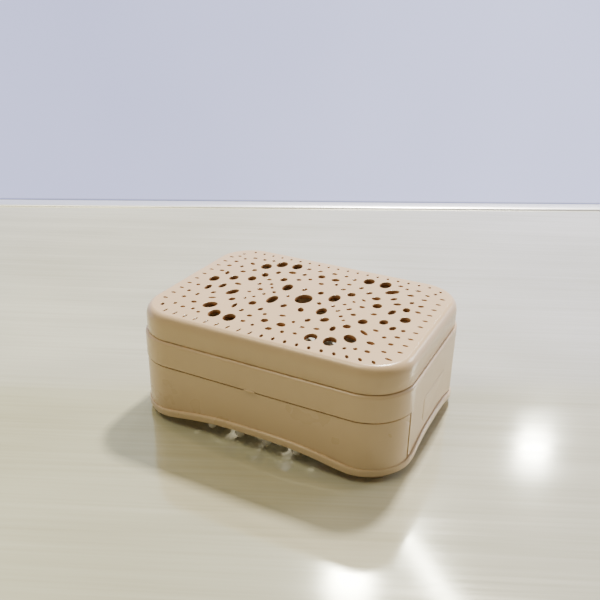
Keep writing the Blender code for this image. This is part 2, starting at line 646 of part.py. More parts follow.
def roller_core(turn):
    """Core about the Y axis with a journal at each end; each of its flats faces a row of
    knobs."""
    half = [
        (JOURNAL_END, JOURNAL_RADIUS), (CORE_HALF_LENGTH, JOURNAL_RADIUS),
        (CORE_HALF_LENGTH, CORE_RADIUS),
    ]
    profile = [(-y, radius) for y, radius in half] + list(reversed(half))
    bm = bmesh.new()
    rings = []
    for y, radius in profile:
        ring = []
        for k in range(CORE_SIDES):
            angle = math.radians(turn) + 2 * math.pi * (k + 0.5) / CORE_SIDES
            ring.append(bm.verts.new((radius * math.sin(angle), y, -radius * math.cos(angle))))
        rings.append(ring)
    skin_loops(bm, rings, closed=False)
    bm.faces.new(rings[0])
    bm.faces.new(rings[-1])
    return mesh_from_bmesh("roller_core", bm)


def roller_knobs(turn):
    """Rings of domed knobs, every other ring turned by half a step; the first ring is at the
    front."""
    bm = bmesh.new()
    levels = (
        (KNOB_ROOT, KNOB_RADIUS), (KNOB_TIP_RADIUS - 0.65 * KNOB_RADIUS, KNOB_RADIUS),
        (KNOB_TIP_RADIUS, 0.5 * KNOB_RADIUS),
    )
    for ring in range(KNOB_RINGS):
        y = -KNOB_RING_END + 2 * KNOB_RING_END * ring / (KNOB_RINGS - 1)
        shift = 0.5 * (ring % 2)
        for knob in range(KNOBS_PER_RING):
            angle = math.radians(turn) + 2 * math.pi * (knob + shift) / KNOBS_PER_RING
            outward = Vector((math.sin(angle), 0.0, -math.cos(angle)))
            across = Vector((math.cos(angle), 0.0, math.sin(angle)))
            loops = []
            for distance, radius in levels:
                loop = []
                for k in range(KNOB_SIDES):
                    around = 2 * math.pi * k / KNOB_SIDES
                    point = outward * distance + across * radius * math.cos(around)
                    point += Vector((0.0, y + radius * math.sin(around), 0.0))
                    loop.append(bm.verts.new(point))
                loops.append(loop)
            bm.faces.new(loops[0])
            bm.faces.new(loops[-1])
            skin_loops(bm, loops, closed=False)
    return bm


def make_rollers(material):
    rollers = []
    for number, (x, turn) in enumerate(zip(roller_places(), ROLLER_TURNS), start=1):
        roller = add_object(f"roller_{number}", roller_core(turn), material)
        spot = Matrix.Translation((x, 0.0, AXIS_HEIGHT))
        modifier = combine(roller, roller_knobs(turn), "UNION")
        roller.matrix_world = spot
        modifier.object.matrix_world = spot
        rollers.append(roller)
    return rollers


def build():
    clear_scene()
    shell_colour = (0.70, 0.58, 0.46)
    make_base_shell(plastic("base_plastic", shell_colour, 0.36))
    make_upper_body(plastic("upper_body_plastic", shell_colour, 0.34))
    make_lid(plastic("lid_plastic", (0.72, 0.60, 0.50), 0.34))
    make_rollers(plastic("roller_plastic", (0.82, 0.80, 0.78), 0.45))


build()
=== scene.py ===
"""Covered roller soap dish on a pale brushed counter.

Its lid, body band, base shell and rollers are surfaces worked out on grids, in metres, in the
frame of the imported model: +Z up, feet on z = 0, the long sides along X, the front towards -Y.
"""

import math

import bmesh
import bpy
import numpy as np
from mathutils import Matrix, Vector
from mathutils.geometry import delaunay_2d_cdt


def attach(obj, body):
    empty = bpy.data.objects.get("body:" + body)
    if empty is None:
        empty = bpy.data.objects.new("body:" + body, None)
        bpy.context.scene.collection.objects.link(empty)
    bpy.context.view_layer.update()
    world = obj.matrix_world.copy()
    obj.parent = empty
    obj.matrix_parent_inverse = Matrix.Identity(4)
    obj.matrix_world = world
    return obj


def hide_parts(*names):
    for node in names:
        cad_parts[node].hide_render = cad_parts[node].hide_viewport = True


MM = 0.001

# Angle past which an edge stays crisp, distance at which points merge, and the share of a
# side's length that its two rounds may take together
CRISP_ANGLE = math.radians(35)
MERGE_REACH = 0.002 * MM
ROUNDS_SHARE = 0.96

# Steps of an outline along its long and short sides, and round a corner
LID_STEPS = (24, 16)
LID_CORNER_STEPS = 25
WALL_STEPS = (40, 28)
WALL_CORNER_STEPS = (5, 19)
PAD_STEPS = (4, 4)
PAD_CORNER_STEPS = 7
DECK_CORNER_STEPS = 13
BEARING_STEPS = 20

# Body band and lid outline
HALF_LENGTH = 60.0 * MM
HALF_WIDTH = 44.45 * MM
BODY_CORNER = 19.0 * MM
LID_TOP = 49.3 * MM
BAND_TOP = 38.2 * MM
SEAM = 27.0 * MM
SEAM_GAP = 0.5 * MM
GAP = 0.3 * MM
WALL = 1.5 * MM
OVERLAP = 0.4 * MM

# Skirts of the upper body on the short sides: the angles at the corner's centre where they and
# their pockets in the base end, and how far a station stands on either side of such an end
SKIRT_ANGLE = 8.93
POCKET_ANGLE = 9.12
EDGE_ANGLE = 0.08
SKIRT_THICKNESS = 1.3 * MM
MOUTH_INSET = 2.3 * MM
MOUTH_CLEARANCE = 1.0 * MM
MOUTH_RAMP = 1.0 * MM
SKIRT_STEP = (0.6 * MM, 0.3 * MM)
BAND_ROUNDS = np.array((0.25, 1.55, 0.3, 0.3, 0.3, 0, 0, 0.15)) * MM

# Grip pads, whose shoulder is given as distance drawn in, in millimetres, and share of relief
PAD_HALF = (13.5 * MM, 5.5 * MM)
PAD_CORNER = 2.0 * MM
PAD_MIDDLE = 19.3 * MM
PAD_RELIEF = 0.2 * MM
PAD_SHOULDER = ((0.0, -3.0), (0.0, 0.1), (0.1, 0.5), (0.3, 0.85), (0.6, 1.0))
PAD_CRISP_ANGLE = math.radians(50)

# Pry lip at mid-front, its outline in millimetres from the front wall and the seam
PRY_LIP_ENDS = (-3.6 * MM, 1.2 * MM)
PRY_LIP_OUTLINE = ((0.5, 0.1), (-0.1, -0.3), (-0.4, -0.3), (-0.45, -0.05), (-0.3, 0.3), (0.5, 0.9))

# Base shell: its rim, the arches of the long and short sides, and the tongue behind the seam
BASE_INSET = 0.3 * MM
RIM_FLARE = 1.0 * MM
RIM_CORNER = 22.0 * MM
RIM_BOTTOM = 3.0 * MM
RIM_HEIGHT = 3.1 * MM
RIM_SLOPE = 0.25 * MM
ARCH_LONG = 4.1 * MM
ARCH_SHORT = 3.9 * MM
ARCH_END = 11.4 * MM
ARCH_POWER = 1.55
TONGUE_INSET = WALL + GAP
TONGUE_THICKNESS = 1.2 * MM
TONGUE_TOP = SEAM + 4.0 * MM
TONGUE_ROOT = SEAM - 2.5 * MM
TONGUE_RAMP = SEAM - 4.5 * MM
LEDGE_RISE = 0.02 * MM
BASE_ROUNDS = np.array((0.2, 0.4, 1.4, 0.08, 0.2, 0, 0.3, 0.3, 0, 0)) * MM

# Feet: their arc, the rise of the last steps, the height below which the section takes part in
# it, and the section as inset and height pairs in millimetres
FOOT_ANGLES = (42.0, 60.0)
FOOT_STEPS = 12
FOOT_RISE = (0.1, 0.45, 1.1)
FOOT_SOLE = 1.0
FOOT_SECTION = (
    (1.6, 4.2), (2.75, 4.2), (2.8, 4.0), (2.8, 0.4), (2.9, 0.12), (3.15, 0.0), (4.35, 0.0),
    (4.6, 0.12), (4.7, 0.4), (4.7, 9.6), (1.6, 9.6),
)

# Drain decks, and the rounded edge of their slots as growth and depth pairs in millimetres
DECK_TOP = 10.6 * MM
DECK_THICKNESS = 1.6 * MM
BAY_HALF = 27.4 * MM
SLOTS = 4
SLOT_FIRST = BAY_HALF + 7.0 * MM
SLOT_PITCH = 6.2 * MM
SLOT_RADIUS = 1.5 * MM
SLOT_STRAIGHT = 20.5 * MM
SLOT_SIDES = 24
SLOT_EDGE = ((0.3, 0.0), (0.09, 0.09), (0.0, 0.3), (0.0, 1.3), (0.15, 1.6))

# Ribs along the roller bay, and the bearings
RIB_THICKNESS = 1.4 * MM
RIB_BOTTOM = 7.2 * MM
RIB_TOP = 13.0 * MM
RIB_EDGE = 0.35 * MM
BEARING_RADIUS = 2.2 * MM
BORE_RADIUS = 1.1 * MM
BORE_MOUTH = 0.9 * MM
BEARING_DROP = 1.3 * MM

# Lid
LID_INSET = 0.9 * MM
LID_WALL = 1.8 * MM
LID_ROUND_REACH = 3.1 * MM
LID_ROUND_DROP = 5.0 * MM
LID_INNER_ROUND = 1.3 * MM
LID_INNER_STEPS = 7
LID_ROUND_STEPS = 16
LID_CREASE_STEPS = 5
LID_CREASE_WIDTH = 0.3 * MM
LID_CREASE_ANGLE = math.radians(12)
LID_EDGE = 0.25 * MM
LID_EDGE_SHARE = 0.3
LID_RAMP = (0.8 * MM, 2.0 * MM)
PLUG_THICKNESS = 1.3 * MM
PLUG_DEPTH = 4.6 * MM

# Holes of the lid: the sum of width and height past which a hole is big, the sides, steps and
# lip size of each kind, the painted shade at the lip's foot, and the underside's flare as
# growth and height
BIG_HOLE = 6.4 * MM
BIG_LIP = (22, 4, 0.2 * MM)
SMALL_LIP = (12, 3, 0.09 * MM)
SLIT_LIP = (12, 3, 0.06 * MM)
LIP_SHADE = 0.5
UNDER_FLARE = (0.12 * MM, 0.15 * MM)

# Slits along the lid's edges, in millimetres and degrees: middle and pitch of a row, its line
# along the edge, and the width and height of a slit with its lean
LONG_SLITS = 19
FRONT_MIDDLE, FRONT_PITCH, FRONT_LINE, FRONT_BEND = 0.9, 5.07, -38.6, 3.6
LEFT_SLIT, LEFT_LEAN = (1.0, 3.1), -10
RIGHT_SLIT, RIGHT_LEAN, RIGHT_TURN = (1.4, 2.7), 10, 36
BACK_MIDDLE, BACK_PITCH, BACK_SLITS = -0.6, 4.93, (37.2, 1.2, 1.9, 18)
SHORT_SLITS = 10
END_SLIT = (2.4, 1.3, 0)
END_ROWS = ((-52.2, -0.25, 5.97), (52.5, 0.8, 5.92))

# Rollers, with the angles of a knob's dome and the resting turn of each roller in degrees
ROLLER_PITCH = 13.2 * MM
AXIS_HEIGHT = 6.9 * MM
KNOB_TIP = 6.4 * MM
KNOB_RADIUS = 1.75 * MM
KNOB_ROOT = 2.5 * MM
KNOB_SIDES = 10
KNOB_DOME = (0, 32, 62)
KNOB_CRISP_ANGLE = math.radians(60)
CORE_RADIUS = 3.3 * MM
CORE_END = 40.8 * MM
CORE_EDGE = 0.25 * MM
CORE_SIDES = 32
JOURNAL_RADIUS = 1.05 * MM
JOURNAL_END = 42.1 * MM
JOURNAL_EDGE = 0.6 * CORE_EDGE
KNOB_RINGS = 13
KNOBS_PER_RING = 4
KNOB_RING_END = 40.3 * MM
ROLLER_TURNS = (-26.0, -22.0, -30.0, -24.0)

# View: the camera, and half the width of the counter that it shows
VIEW_TURN = math.radians(26.30)
VIEW_TILT = math.radians(24.69)
VIEW_ROLL = math.radians(1.06)
CAMERA_PLACE = Vector((125.33, -257.35, 180.15)) * MM
LENS = 44.33
SENSOR_WIDTH = 36.0
CLIP_START = 10 * MM
VIEW_HALF = 0.15

# Plastics: light and dark tone, colour of the shade painted inside the lid's holes and on its
# inner faces, strength of the speckle and change of roughness with handling
BEIGE = ((0.62, 0.455, 0.275), (0.595, 0.43, 0.255))
PAINTED_SHADE_BEIGE = (0.30, 0.12, 0.035)
OFF_WHITE = ((0.70, 0.66, 0.62), (0.66, 0.62, 0.58))
SPECKLE = 0.06
HANDLING = 0.04

# Counter: dark and light tone at each side of the view, and its streaks and patches as length,
# width and detail, with the share of the broad streaks and of the patches in the tone
COUNTER_LEFT = ((0.56, 0.55, 0.33), (0.76, 0.75, 0.50))
COUNTER_RIGHT = ((0.55, 0.55, 0.44), (0.74, 0.74, 0.65))
COUNTER_REACH = 3.0
FINE_STREAKS = (0.110, 0.0020, 4.0)
BROAD_STREAKS = (0.25, 0.012, 3.0)
PATCHES = (0.16, 0.11, 2.0)
BROAD_SHARE = 0.5
PATCH_SHARE = 0.45
STREAK_LEAN = math.radians(2)

# Wall behind the counter with its light painted as a glow and painted shade at its foot, the
# bead at its foot, and the room's own light
ROOM_WALL_AWAY = 0.583
ROOM_WALL_REACH = 1.5
ROOM_WALL_HEIGHT = 0.175
ROOM_WALL_TURN = math.radians(2.0)
# Colours of the wall's glow, painted light, at the left and right of the view
ROOM_WALL_GLOW_LEFT = (0.88, 0.92, 1.45)
ROOM_WALL_GLOW_RIGHT = (1.22, 1.27, 1.90)
ROOM_WALL_CLOUDS = 0.3
# Heights over which the painted shade at the wall's foot fades out
ROOM_WALL_FOOT_SHADE = (0.0007, 0.0022)
BEAD_RADIUS = 7.5 * MM
BEAD_FLATNESS = 0.3
BEAD_AWAY = 1.2
BEAD_STEPS = 13
ROOM_FRONT = (0.11, 0.105, 0.085)
ROOM_BACK = (0.78, 0.78, 0.86)
ROOM_FADE = (-0.3, 0.5)

# Lights: name, place and size in metres, power in watts, colour, turn about their own axis
LIGHTS = (
    ("ceiling_main", (0.0, 0.60, 1.00), (0.10, 0.10), 30.0, (1.0, 0.91, 0.79), 0.0),
    ("lamp_right", (-0.011, 1.250, 0.834), (0.055, 0.055), 1.0, (1.0, 0.99, 0.98), 0.0),
    ("lamp_left", (-0.311, 0.902, 1.059), (0.075, 0.075), 2.0, (1.0, 0.99, 0.98), 0.0),
    ("lamp_tube", (-0.161, 0.950, 1.000), (0.020, 0.25), 0.9, (1.0, 0.99, 0.98), 43.9),
    ("window", (-1.66, 1.30, 0.90), (0.35, 0.35), 1.0, (1.0, 1.0, 0.93), 0.0),
    ("side", (1.0, 1.20, 0.6), (0.5, 0.5), 13.5, (1.0, 0.98, 0.97), 0.0),
    ("front_fill", (-0.35, -0.40, 1.25), (0.5, 0.5), 8.5, (1.0, 0.90, 0.60), 0.0),
)

# Holes of the lid, chosen one by one, in millimetres: distance along X and Y from the middle,
# width, height and lean in degrees against the clock
HOLES = (
    # on the middle lines
    (0.0, -0.4, 7.3, 9.2, 0), (-45.2, 0.1, 4.4, 6.0, 5), (45.1, 0.9, 4.4, 5.2, 0),
    (-32.7, 0.1, 3.6, 2.1, -10), (31.9, -0.1, 2.8, 2.1, 15), (-21.2, -0.4, 2.7, 2.4, 0),
    (21.2, -0.5, 1.8, 2.8, -35), (-14.3, -0.3, 1.7, 2.4, 30), (14.1, -1.0, 1.6, 2.3, -10),
    (-7.2, -1.0, 1.5, 2.2, 30), (7.8, -1.3, 1.9, 3.0, 35), (-0.3, -19.1, 3.1, 1.8, 8),
    (0.3, -31.9, 3.0, 2.5, 0), (-0.2, 17.7, 2.6, 2.2, 0), (0.3, 31.1, 2.8, 2.1, 0),
    # front left quarter
    (-37.7, -4.9, 2.8, 5.1, -5), (-47.7, -9.1, 1.9, 1.9, 0), (-42.5, -9.1, 2.7, 5.1, 5),
    (-30.4, -8.6, 3.9, 6.8, -22), (-24.1, -4.8, 2.0, 1.5, 0), (-17.3, -4.0, 1.6, 2.0, 20),
    (-19.8, -8.4, 1.6, 1.8, 0), (-22.3, -11.5, 1.3, 1.9, 25), (-11.5, -7.2, 4.2, 7.9, 0),
    (-4.3, -10.5, 2.6, 3.5, -10), (-37.2, -13.0, 1.9, 2.6, -30), (-26.6, -15.1, 2.7, 3.3, -35),
    (-17.1, -14.3, 3.3, 4.0, 0), (-42.2, -17.9, 1.6, 2.6, 0), (-34.8, -17.8, 3.6, 1.6, 30),
    (-22.5, -19.9, 1.9, 4.6, 8), (-11.1, -18.0, 2.1, 3.0, -8), (-47.6, -16.3, 1.9, 1.8, 0),
    (-45.9, -22.6, 2.1, 1.8, 20), (-39.1, -25.1, 2.7, 2.1, 0), (-31.7, -24.2, 5.0, 6.6, -33),
    (-17.5, -22.6, 1.9, 2.5, -15), (-7.2, -21.3, 1.7, 2.0, 0), (-12.0, -25.4, 2.5, 2.0, 0),
    (-4.5, -26.4, 3.1, 3.3, -20), (-45.2, -29.9, 1.6, 1.9, 0), (-25.7, -30.3, 5.0, 7.0, 8),
    (-18.4, -30.7, 5.2, 6.7, 12), (-40.5, -31.2, 2.2, 1.7, 20), (-35.7, -30.8, 1.7, 1.9, 0),
    (-32.1, -32.4, 1.9, 1.6, -25), (-11.8, -30.9, 2.2, 1.9, 0), (-6.8, -32.1, 1.5, 2.0, 15),
    (-49.3, -33.1, 1.6, 2.3, 20),
    # front right quarter
    (17.7, -4.2, 1.6, 2.4, -30), (24.7, -4.5, 2.5, 2.3, 0), (38.1, -5.0, 3.6, 4.4, 0),
    (11.9, -7.8, 4.2, 6.9, 3), (3.7, -10.5, 2.5, 4.2, 28), (20.8, -8.3, 1.8, 2.1, 0),
    (30.5, -8.6, 3.9, 4.6, 0), (43.2, -8.6, 2.6, 3.8, -15), (47.6, -8.6, 1.9, 2.1, 0),
    (23.2, -11.2, 1.6, 1.5, 0), (16.3, -14.3, 3.4, 4.3, -20), (26.6, -15.5, 3.3, 3.3, 0),
    (38.0, -13.4, 2.6, 1.8, -10), (47.4, -14.8, 2.4, 1.8, 0), (34.6, -17.3, 4.9, 1.8, -38),
    (10.5, -18.0, 2.4, 3.3, -10), (22.4, -19.9, 2.3, 4.3, 8), (43.0, -17.3, 1.8, 2.0, 0),
    (6.3, -22.1, 1.5, 2.1, 25), (47.2, -21.4, 2.2, 1.9, 0), (17.0, -23.2, 2.6, 1.9, 10),
    (11.4, -24.5, 2.2, 1.6, 10), (31.8, -24.5, 4.8, 6.9, 40), (40.1, -24.1, 3.6, 2.4, -12),
    (3.0, -26.5, 3.9, 3.3, -15), (18.1, -30.7, 5.0, 6.5, 0), (25.9, -30.1, 5.2, 7.3, 12),
    (47.0, -28.2, 2.2, 1.5, -5), (11.3, -30.7, 2.2, 1.6, -35), (6.3, -31.8, 1.6, 2.3, 25),
    (33.0, -32.6, 1.5, 2.0, 0), (36.8, -31.1, 1.7, 1.9, 0), (41.5, -30.9, 2.5, 1.9, -15),
    (50.5, -32.7, 3.2, 1.3, -12),
    # back left quarter
    (-45.2, 27.5, 1.6, 1.9, 20), (-49.3, 29.2, 2.0, 1.4, 0), (-41.4, 30.6, 2.2, 1.8, 0),
    (-36.3, 30.8, 2.0, 1.9, 0), (-31.8, 31.7, 1.7, 1.9, 20), (-26.2, 29.6, 4.9, 7.0, 0),
    (-18.8, 30.8, 4.7, 6.8, 8), (-12.5, 30.6, 2.5, 2.0, 0), (-6.8, 30.8, 2.4, 1.8, 15),
    (-38.9, 23.8, 3.3, 1.9, -40), (-47.2, 22.7, 2.2, 2.0, 0), (-31.6, 24.0, 5.0, 6.6, 10),
    (-17.4, 23.1, 3.7, 2.8, 0), (-11.3, 23.5, 2.1, 2.5, 0), (-3.5, 25.2, 3.3, 3.8, 20),
    (-41.7, 18.5, 1.8, 2.4, 15), (-47.5, 16.7, 2.6, 2.0, 15), (-34.2, 17.3, 2.4, 2.5, 0),
    (-23.1, 20.0, 2.3, 3.3, 0), (-6.7, 19.9, 1.9, 2.2, 15), (-27.2, 14.8, 3.2, 4.7, 25),
    (-17.1, 14.0, 3.2, 3.9, 0), (-11.0, 17.0, 2.4, 2.2, 0), (-38.1, 13.4, 2.8, 2.2, 0),
    (-22.8, 10.9, 2.3, 1.8, 0), (-47.2, 9.8, 2.4, 1.7, 0), (-43.6, 8.6, 2.1, 3.8, 20),
    (-30.3, 8.3, 3.8, 5.3, 12), (-19.5, 6.8, 1.7, 2.0, 0), (-37.9, 5.0, 3.8, 5.2, -5),
    (-24.3, 4.6, 1.9, 2.4, 0), (-17.4, 3.5, 1.4, 2.1, 35), (-11.6, 7.1, 4.4, 7.2, 5),
    (-3.9, 8.5, 2.0, 3.3, -12),
    # back right quarter
    (6.3, 31.0, 1.9, 1.9, 0), (11.1, 29.2, 2.1, 2.3, 0), (17.6, 30.6, 4.9, 6.3, 0),
    (25.5, 30.4, 5.1, 7.2, 0), (31.9, 32.5, 2.4, 1.8, 0), (35.5, 30.6, 1.6, 1.7, 0),
    (40.5, 31.2, 2.7, 1.7, 0), (48.2, 31.3, 1.6, 1.7, 0), (45.6, 28.1, 2.2, 1.6, -15),
    (3.6, 24.8, 3.6, 3.1, 15), (11.1, 23.1, 2.3, 1.9, 0), (17.3, 22.1, 2.0, 2.6, -15),
    (6.1, 20.2, 1.5, 2.4, 20), (30.9, 24.4, 3.8, 6.8, -43), (39.1, 25.0, 3.2, 2.3, 0),
    (45.8, 23.2, 2.6, 1.6, 0), (22.5, 18.6, 2.2, 3.3, -30), (10.9, 16.9, 2.3, 1.9, 20),
    (34.0, 17.9, 2.1, 3.6, -30), (42.1, 17.9, 2.0, 2.5, -10), (46.6, 16.3, 2.7, 2.1, 30),
    (16.2, 13.5, 3.6, 4.1, 0), (27.2, 14.8, 3.9, 3.4, 30), (37.1, 13.6, 3.5, 2.4, 25),
    (23.2, 10.5, 2.6, 1.4, -35), (3.9, 8.6, 2.7, 3.5, 10), (42.4, 10.1, 3.1, 4.2, 15),
    (47.3, 10.3, 2.9, 1.8, -20), (11.3, 6.5, 4.8, 7.6, 0), (30.2, 8.1, 4.0, 4.6, 0),
    (20.1, 7.1, 1.4, 1.9, 40), (37.8, 5.2, 2.7, 5.1, -10), (25.1, 4.0, 2.6, 2.1, 0),
    (17.6, 2.9, 1.8, 1.7, 0), (49.5, 34.6, 1.3, 1.9, 25), (-48.9, 32.9, 1.3, 1.8, -20),
)


# Surfaces

def outline_stations(corner_angles, long_steps, short_steps):
    """Stations round a rounded rectangle, against the clock from the right side's lower end.

    Each is (share of the corner centre along X, the same along Y, outward angle), the shares
    running from -1 to 1. A side slides one share at a fixed angle, and a corner turns the
    angle at fixed shares."""
    share_x, share_y, angle = [], [], []
    turn = np.radians(np.asarray(corner_angles, float))
    corners = ((1, 1), (-1, 1), (-1, -1), (1, -1))
    for k, (sign_x, sign_y) in enumerate(corners):
        before_x, before_y = corners[k - 1]
        steps = short_steps if k % 2 == 0 else long_steps
        slide = np.linspace(0, 1, steps + 1)[1:-1]
        share_x.append(before_x + (sign_x - before_x) * slide)
        share_y.append(before_y + (sign_y - before_y) * slide)
        angle.append(np.full(slide.size, k * math.pi / 2))
        quarter = turn if k % 2 == 0 else math.pi / 2 - turn[::-1]
        share_x.append(np.full(turn.size, sign_x))
        share_y.append(np.full(turn.size, sign_y))
        angle.append(quarter + k * math.pi / 2)
    return np.concatenate(share_x), np.concatenate(share_y), np.concatenate(angle)


def on_outline(stations, half_x, half_y, radius, inset):
    """Points of the stations on a rounded rectangle made smaller by an inset.

    x = share_x (half_x - radius) + (radius - inset) cos(angle), and y the same with sin."""
    share_x, share_y, angle = stations
    x = share_x * (half_x - radius) + (radius - inset) * np.cos(angle)
    y = share_y * (half_y - radius) + (radius - inset) * np.sin(angle)
    return x, y


def body_outline(stations, inset):
    return on_outline(stations, HALF_LENGTH, HALF_WIDTH, BODY_CORNER, inset)


def rim_outline(stations, inset):
    half_x, half_y = HALF_LENGTH + RIM_FLARE, HALF_WIDTH + RIM_FLARE
    return on_outline(stations, half_x, half_y, RIM_CORNER, inset)


def arch_height(stations, x, y):
    """Rim bottom: flat at the corners, raised by half (1 + cos(pi s^p)) towards mid-side, where
    s is the distance from mid-side over the arch's reach and p the arch's power."""
    angle = stations[2] % math.pi
    short = np.minimum(angle, math.pi - angle) < math.pi / 4
    reach = np.where(short, HALF_WIDTH - ARCH_END, HALF_LENGTH - ARCH_END)
    rise = np.where(short, ARCH_SHORT, ARCH_LONG)
    share = np.minimum(np.abs(np.where(short, y, x)) / reach, 1.0) ** ARCH_POWER
    return RIM_BOTTOM + rise * 0.5 * (1 + np.cos(np.pi * share))


def corner_ring(stations, outline, inset, height):
    """Ring of points at an inset and a height, each one value or one per station."""
    x, y = outline(stations, inset)
    if callable(height):
        height = height(stations, x, y)
    return np.stack((x, y, np.broadcast_to(height, x.shape)), axis=1)


def beyond_angle(stations, limit):
    """True where a station lies on a short side or on a corner's first degrees up to limit."""
    angle = stations[2] % math.pi
    return np.minimum(angle, math.pi - angle) < math.radians(limit)


def round_corners(corners, rounds, steps):
    """Closed profile with rounded corners, for all stations at once.

    corners is a list of rings (stations x 3). A corner with a round gives way to a quadratic
    curve (1-t)^2 A + 2 t (1-t) P + t^2 B, where A and B lie at that distance from the corner
    P along its two sides; with none it stays a point. Two rounds that would meet on a side
    share its length in proportion."""
    rings = []
    count = len(corners)
    for k, reach in enumerate(rounds):
        here = corners[k]
        if reach == 0:
            rings.append(here)
            continue
        ends = []
        for neighbour in (k - 1, (k + 1) % count):
            away = corners[neighbour] - here
            length = np.linalg.norm(away, axis=1, keepdims=True)
            room = ROUNDS_SHARE * length * reach / (reach + rounds[neighbour])
            ends.append(here + away / length * np.minimum(reach, room))
        for t in np.linspace(0, 1, steps + 1):
            rings.append((1 - t) ** 2 * ends[0] + 2 * t * (1 - t) * here + t * t * ends[1])
    return np.array(rings)


def ring_faces(rows, columns, close_rows=True, close_columns=True):
    """Four-sided faces of a grid of points, closed round its columns and its rows if asked."""
    row = np.arange(rows if close_rows else rows - 1)[:, None]
    column = np.arange(columns if close_columns else columns - 1)[None, :]
    next_row = (row + 1) % rows
    next_column = (column + 1) % columns
    corners = (
        row * columns + column, row * columns + next_column,
        next_row * columns + next_column, next_row * columns + column,
    )
    return np.stack(corners, axis=-1).reshape(-1, 4)


def in_scene(name, data):
    """New object of a mesh, light or camera, put into the scene."""
    made = bpy.data.objects.new(name, data)
    bpy.context.scene.collection.objects.link(made)
    return made


def new_piece(name, points, faces, flat_faces=0, painted_shade=None):
    """Mesh object from points and faces; the first flat_faces of them keep flat shading."""
    mesh = bpy.data.meshes.new(name)
    mesh.from_pydata(np.asarray(points, float), [], [list(map(int, face)) for face in faces])
    smooth = np.ones(len(mesh.polygons), bool)
    smooth[:flat_faces] = False
    mesh.polygons.foreach_set("use_smooth", smooth)
    # Point attribute of painted shade, for the lid's holes and inner faces
    if painted_shade is not None:
        layer = mesh.attributes.new("painted_shade", "FLOAT", "POINT")
        layer.data.foreach_set("value", np.asarray(painted_shade, np.float32))
    return in_scene(name, mesh)


def close_shell(piece, sharp=CRISP_ANGLE):
    """Merge doubled points, turn every face outwards and keep edges over the angle crisp."""
    form = bmesh.new()
    form.from_mesh(piece.data)
    bmesh.ops.remove_doubles(form, verts=form.verts, dist=MERGE_REACH)
    bmesh.ops.recalc_face_normals(form, faces=form.faces)
    form.to_mesh(piece.data)
    form.free()
    smooth = np.empty(len(piece.data.polygons), bool)
    piece.data.polygons.foreach_get("use_smooth", smooth)
    piece.data.set_sharp_from_angle(angle=sharp)
    piece.data.polygons.foreach_set("use_smooth", smooth)
    return piece


def fuse(piece, extras):
    """Unite a piece with its ribs and bosses, and drop the extra objects."""
    for extra in extras:
        step = piece.modifiers.new("union", "BOOLEAN")
        step.operation = "UNION"
        step.solver = "EXACT"
        step.object = extra
    graph = bpy.context.evaluated_depsgraph_get()
    merged = bpy.data.meshes.new_from_object(piece.evaluated_get(graph))
    piece.modifiers.clear()
    piece.data = merged
    for extra in extras:
        bpy.data.objects.remove(extra, do_unlink=True)
    merged.set_sharp_from_angle(angle=CRISP_ANGLE)
    return piece


def tube_faces(rings, count):
    """Faces of a row of rings of so many points each, with a flat face over both ends."""
    faces = ring_faces(rings, count, close_rows=False).tolist()
    return faces + [list(range(count)), list(range((rings - 1) * count, rings * count))]


def rod_shape(name, outline, low, high, axis, chamfer):
    """Straight bar: a flat closed outline carried along X or Y, its end edges chamfered.

    The two end rings are drawn in by the chamfer along each point's mean outward direction."""
    outline = np.asarray(outline, float)
    ahead = np.roll(outline, -1, axis=0) - outline
    behind = outline - np.roll(outline, 1, axis=0)
    sides = []
    for way in (ahead, behind):
        length = np.linalg.norm(way, axis=1, keepdims=True)
        sides.append(np.stack((way[:, 1], -way[:, 0]), axis=1) / length)
    outward = sides[0] + sides[1]
    outward /= np.maximum(np.linalg.norm(outward, axis=1, keepdims=True), 1e-9)
    area = np.sum(outline[:, 0] * np.roll(outline[:, 1], -1))
    area -= np.sum(outline[:, 1] * np.roll(outline[:, 0], -1))
    outward *= np.sign(area)
    drawn = outline - outward * chamfer
    rings = []
    for flat, along in ((drawn, low), (outline, low + chamfer), (outline, high - chamfer),
                        (drawn, high)):
        rings.append(np.insert(flat, "XY".index(axis), along, axis=1))
    return close_shell(new_piece(name, np.concatenate(rings), tube_faces(4, len(outline))))


def ellipse_outlines(holes, sides, grow):
    """Outlines of many oval holes at once, as an array holes x sides x 2.

    A point is (a cos t, b sin t) pushed out by grow along the oval's own outward direction
    (b cos t, a sin t), then turned by the lean and moved to the hole's middle."""
    t = np.linspace(0, 2 * np.pi, sides, endpoint=False)[None, :]
    middle_x, middle_y, width, height, lean = (column[:, None] for column in holes.T)
    out_x = height * np.cos(t)
    out_y = width * np.sin(t)
    length = np.hypot(out_x, out_y)
    u = width / 2 * np.cos(t) + grow * out_x / length
    v = height / 2 * np.sin(t) + grow * out_y / length
    x = middle_x + u * np.cos(lean) - v * np.sin(lean)
    y = middle_y + u * np.sin(lean) + v * np.cos(lean)
    return np.stack((x, y), axis=-1)


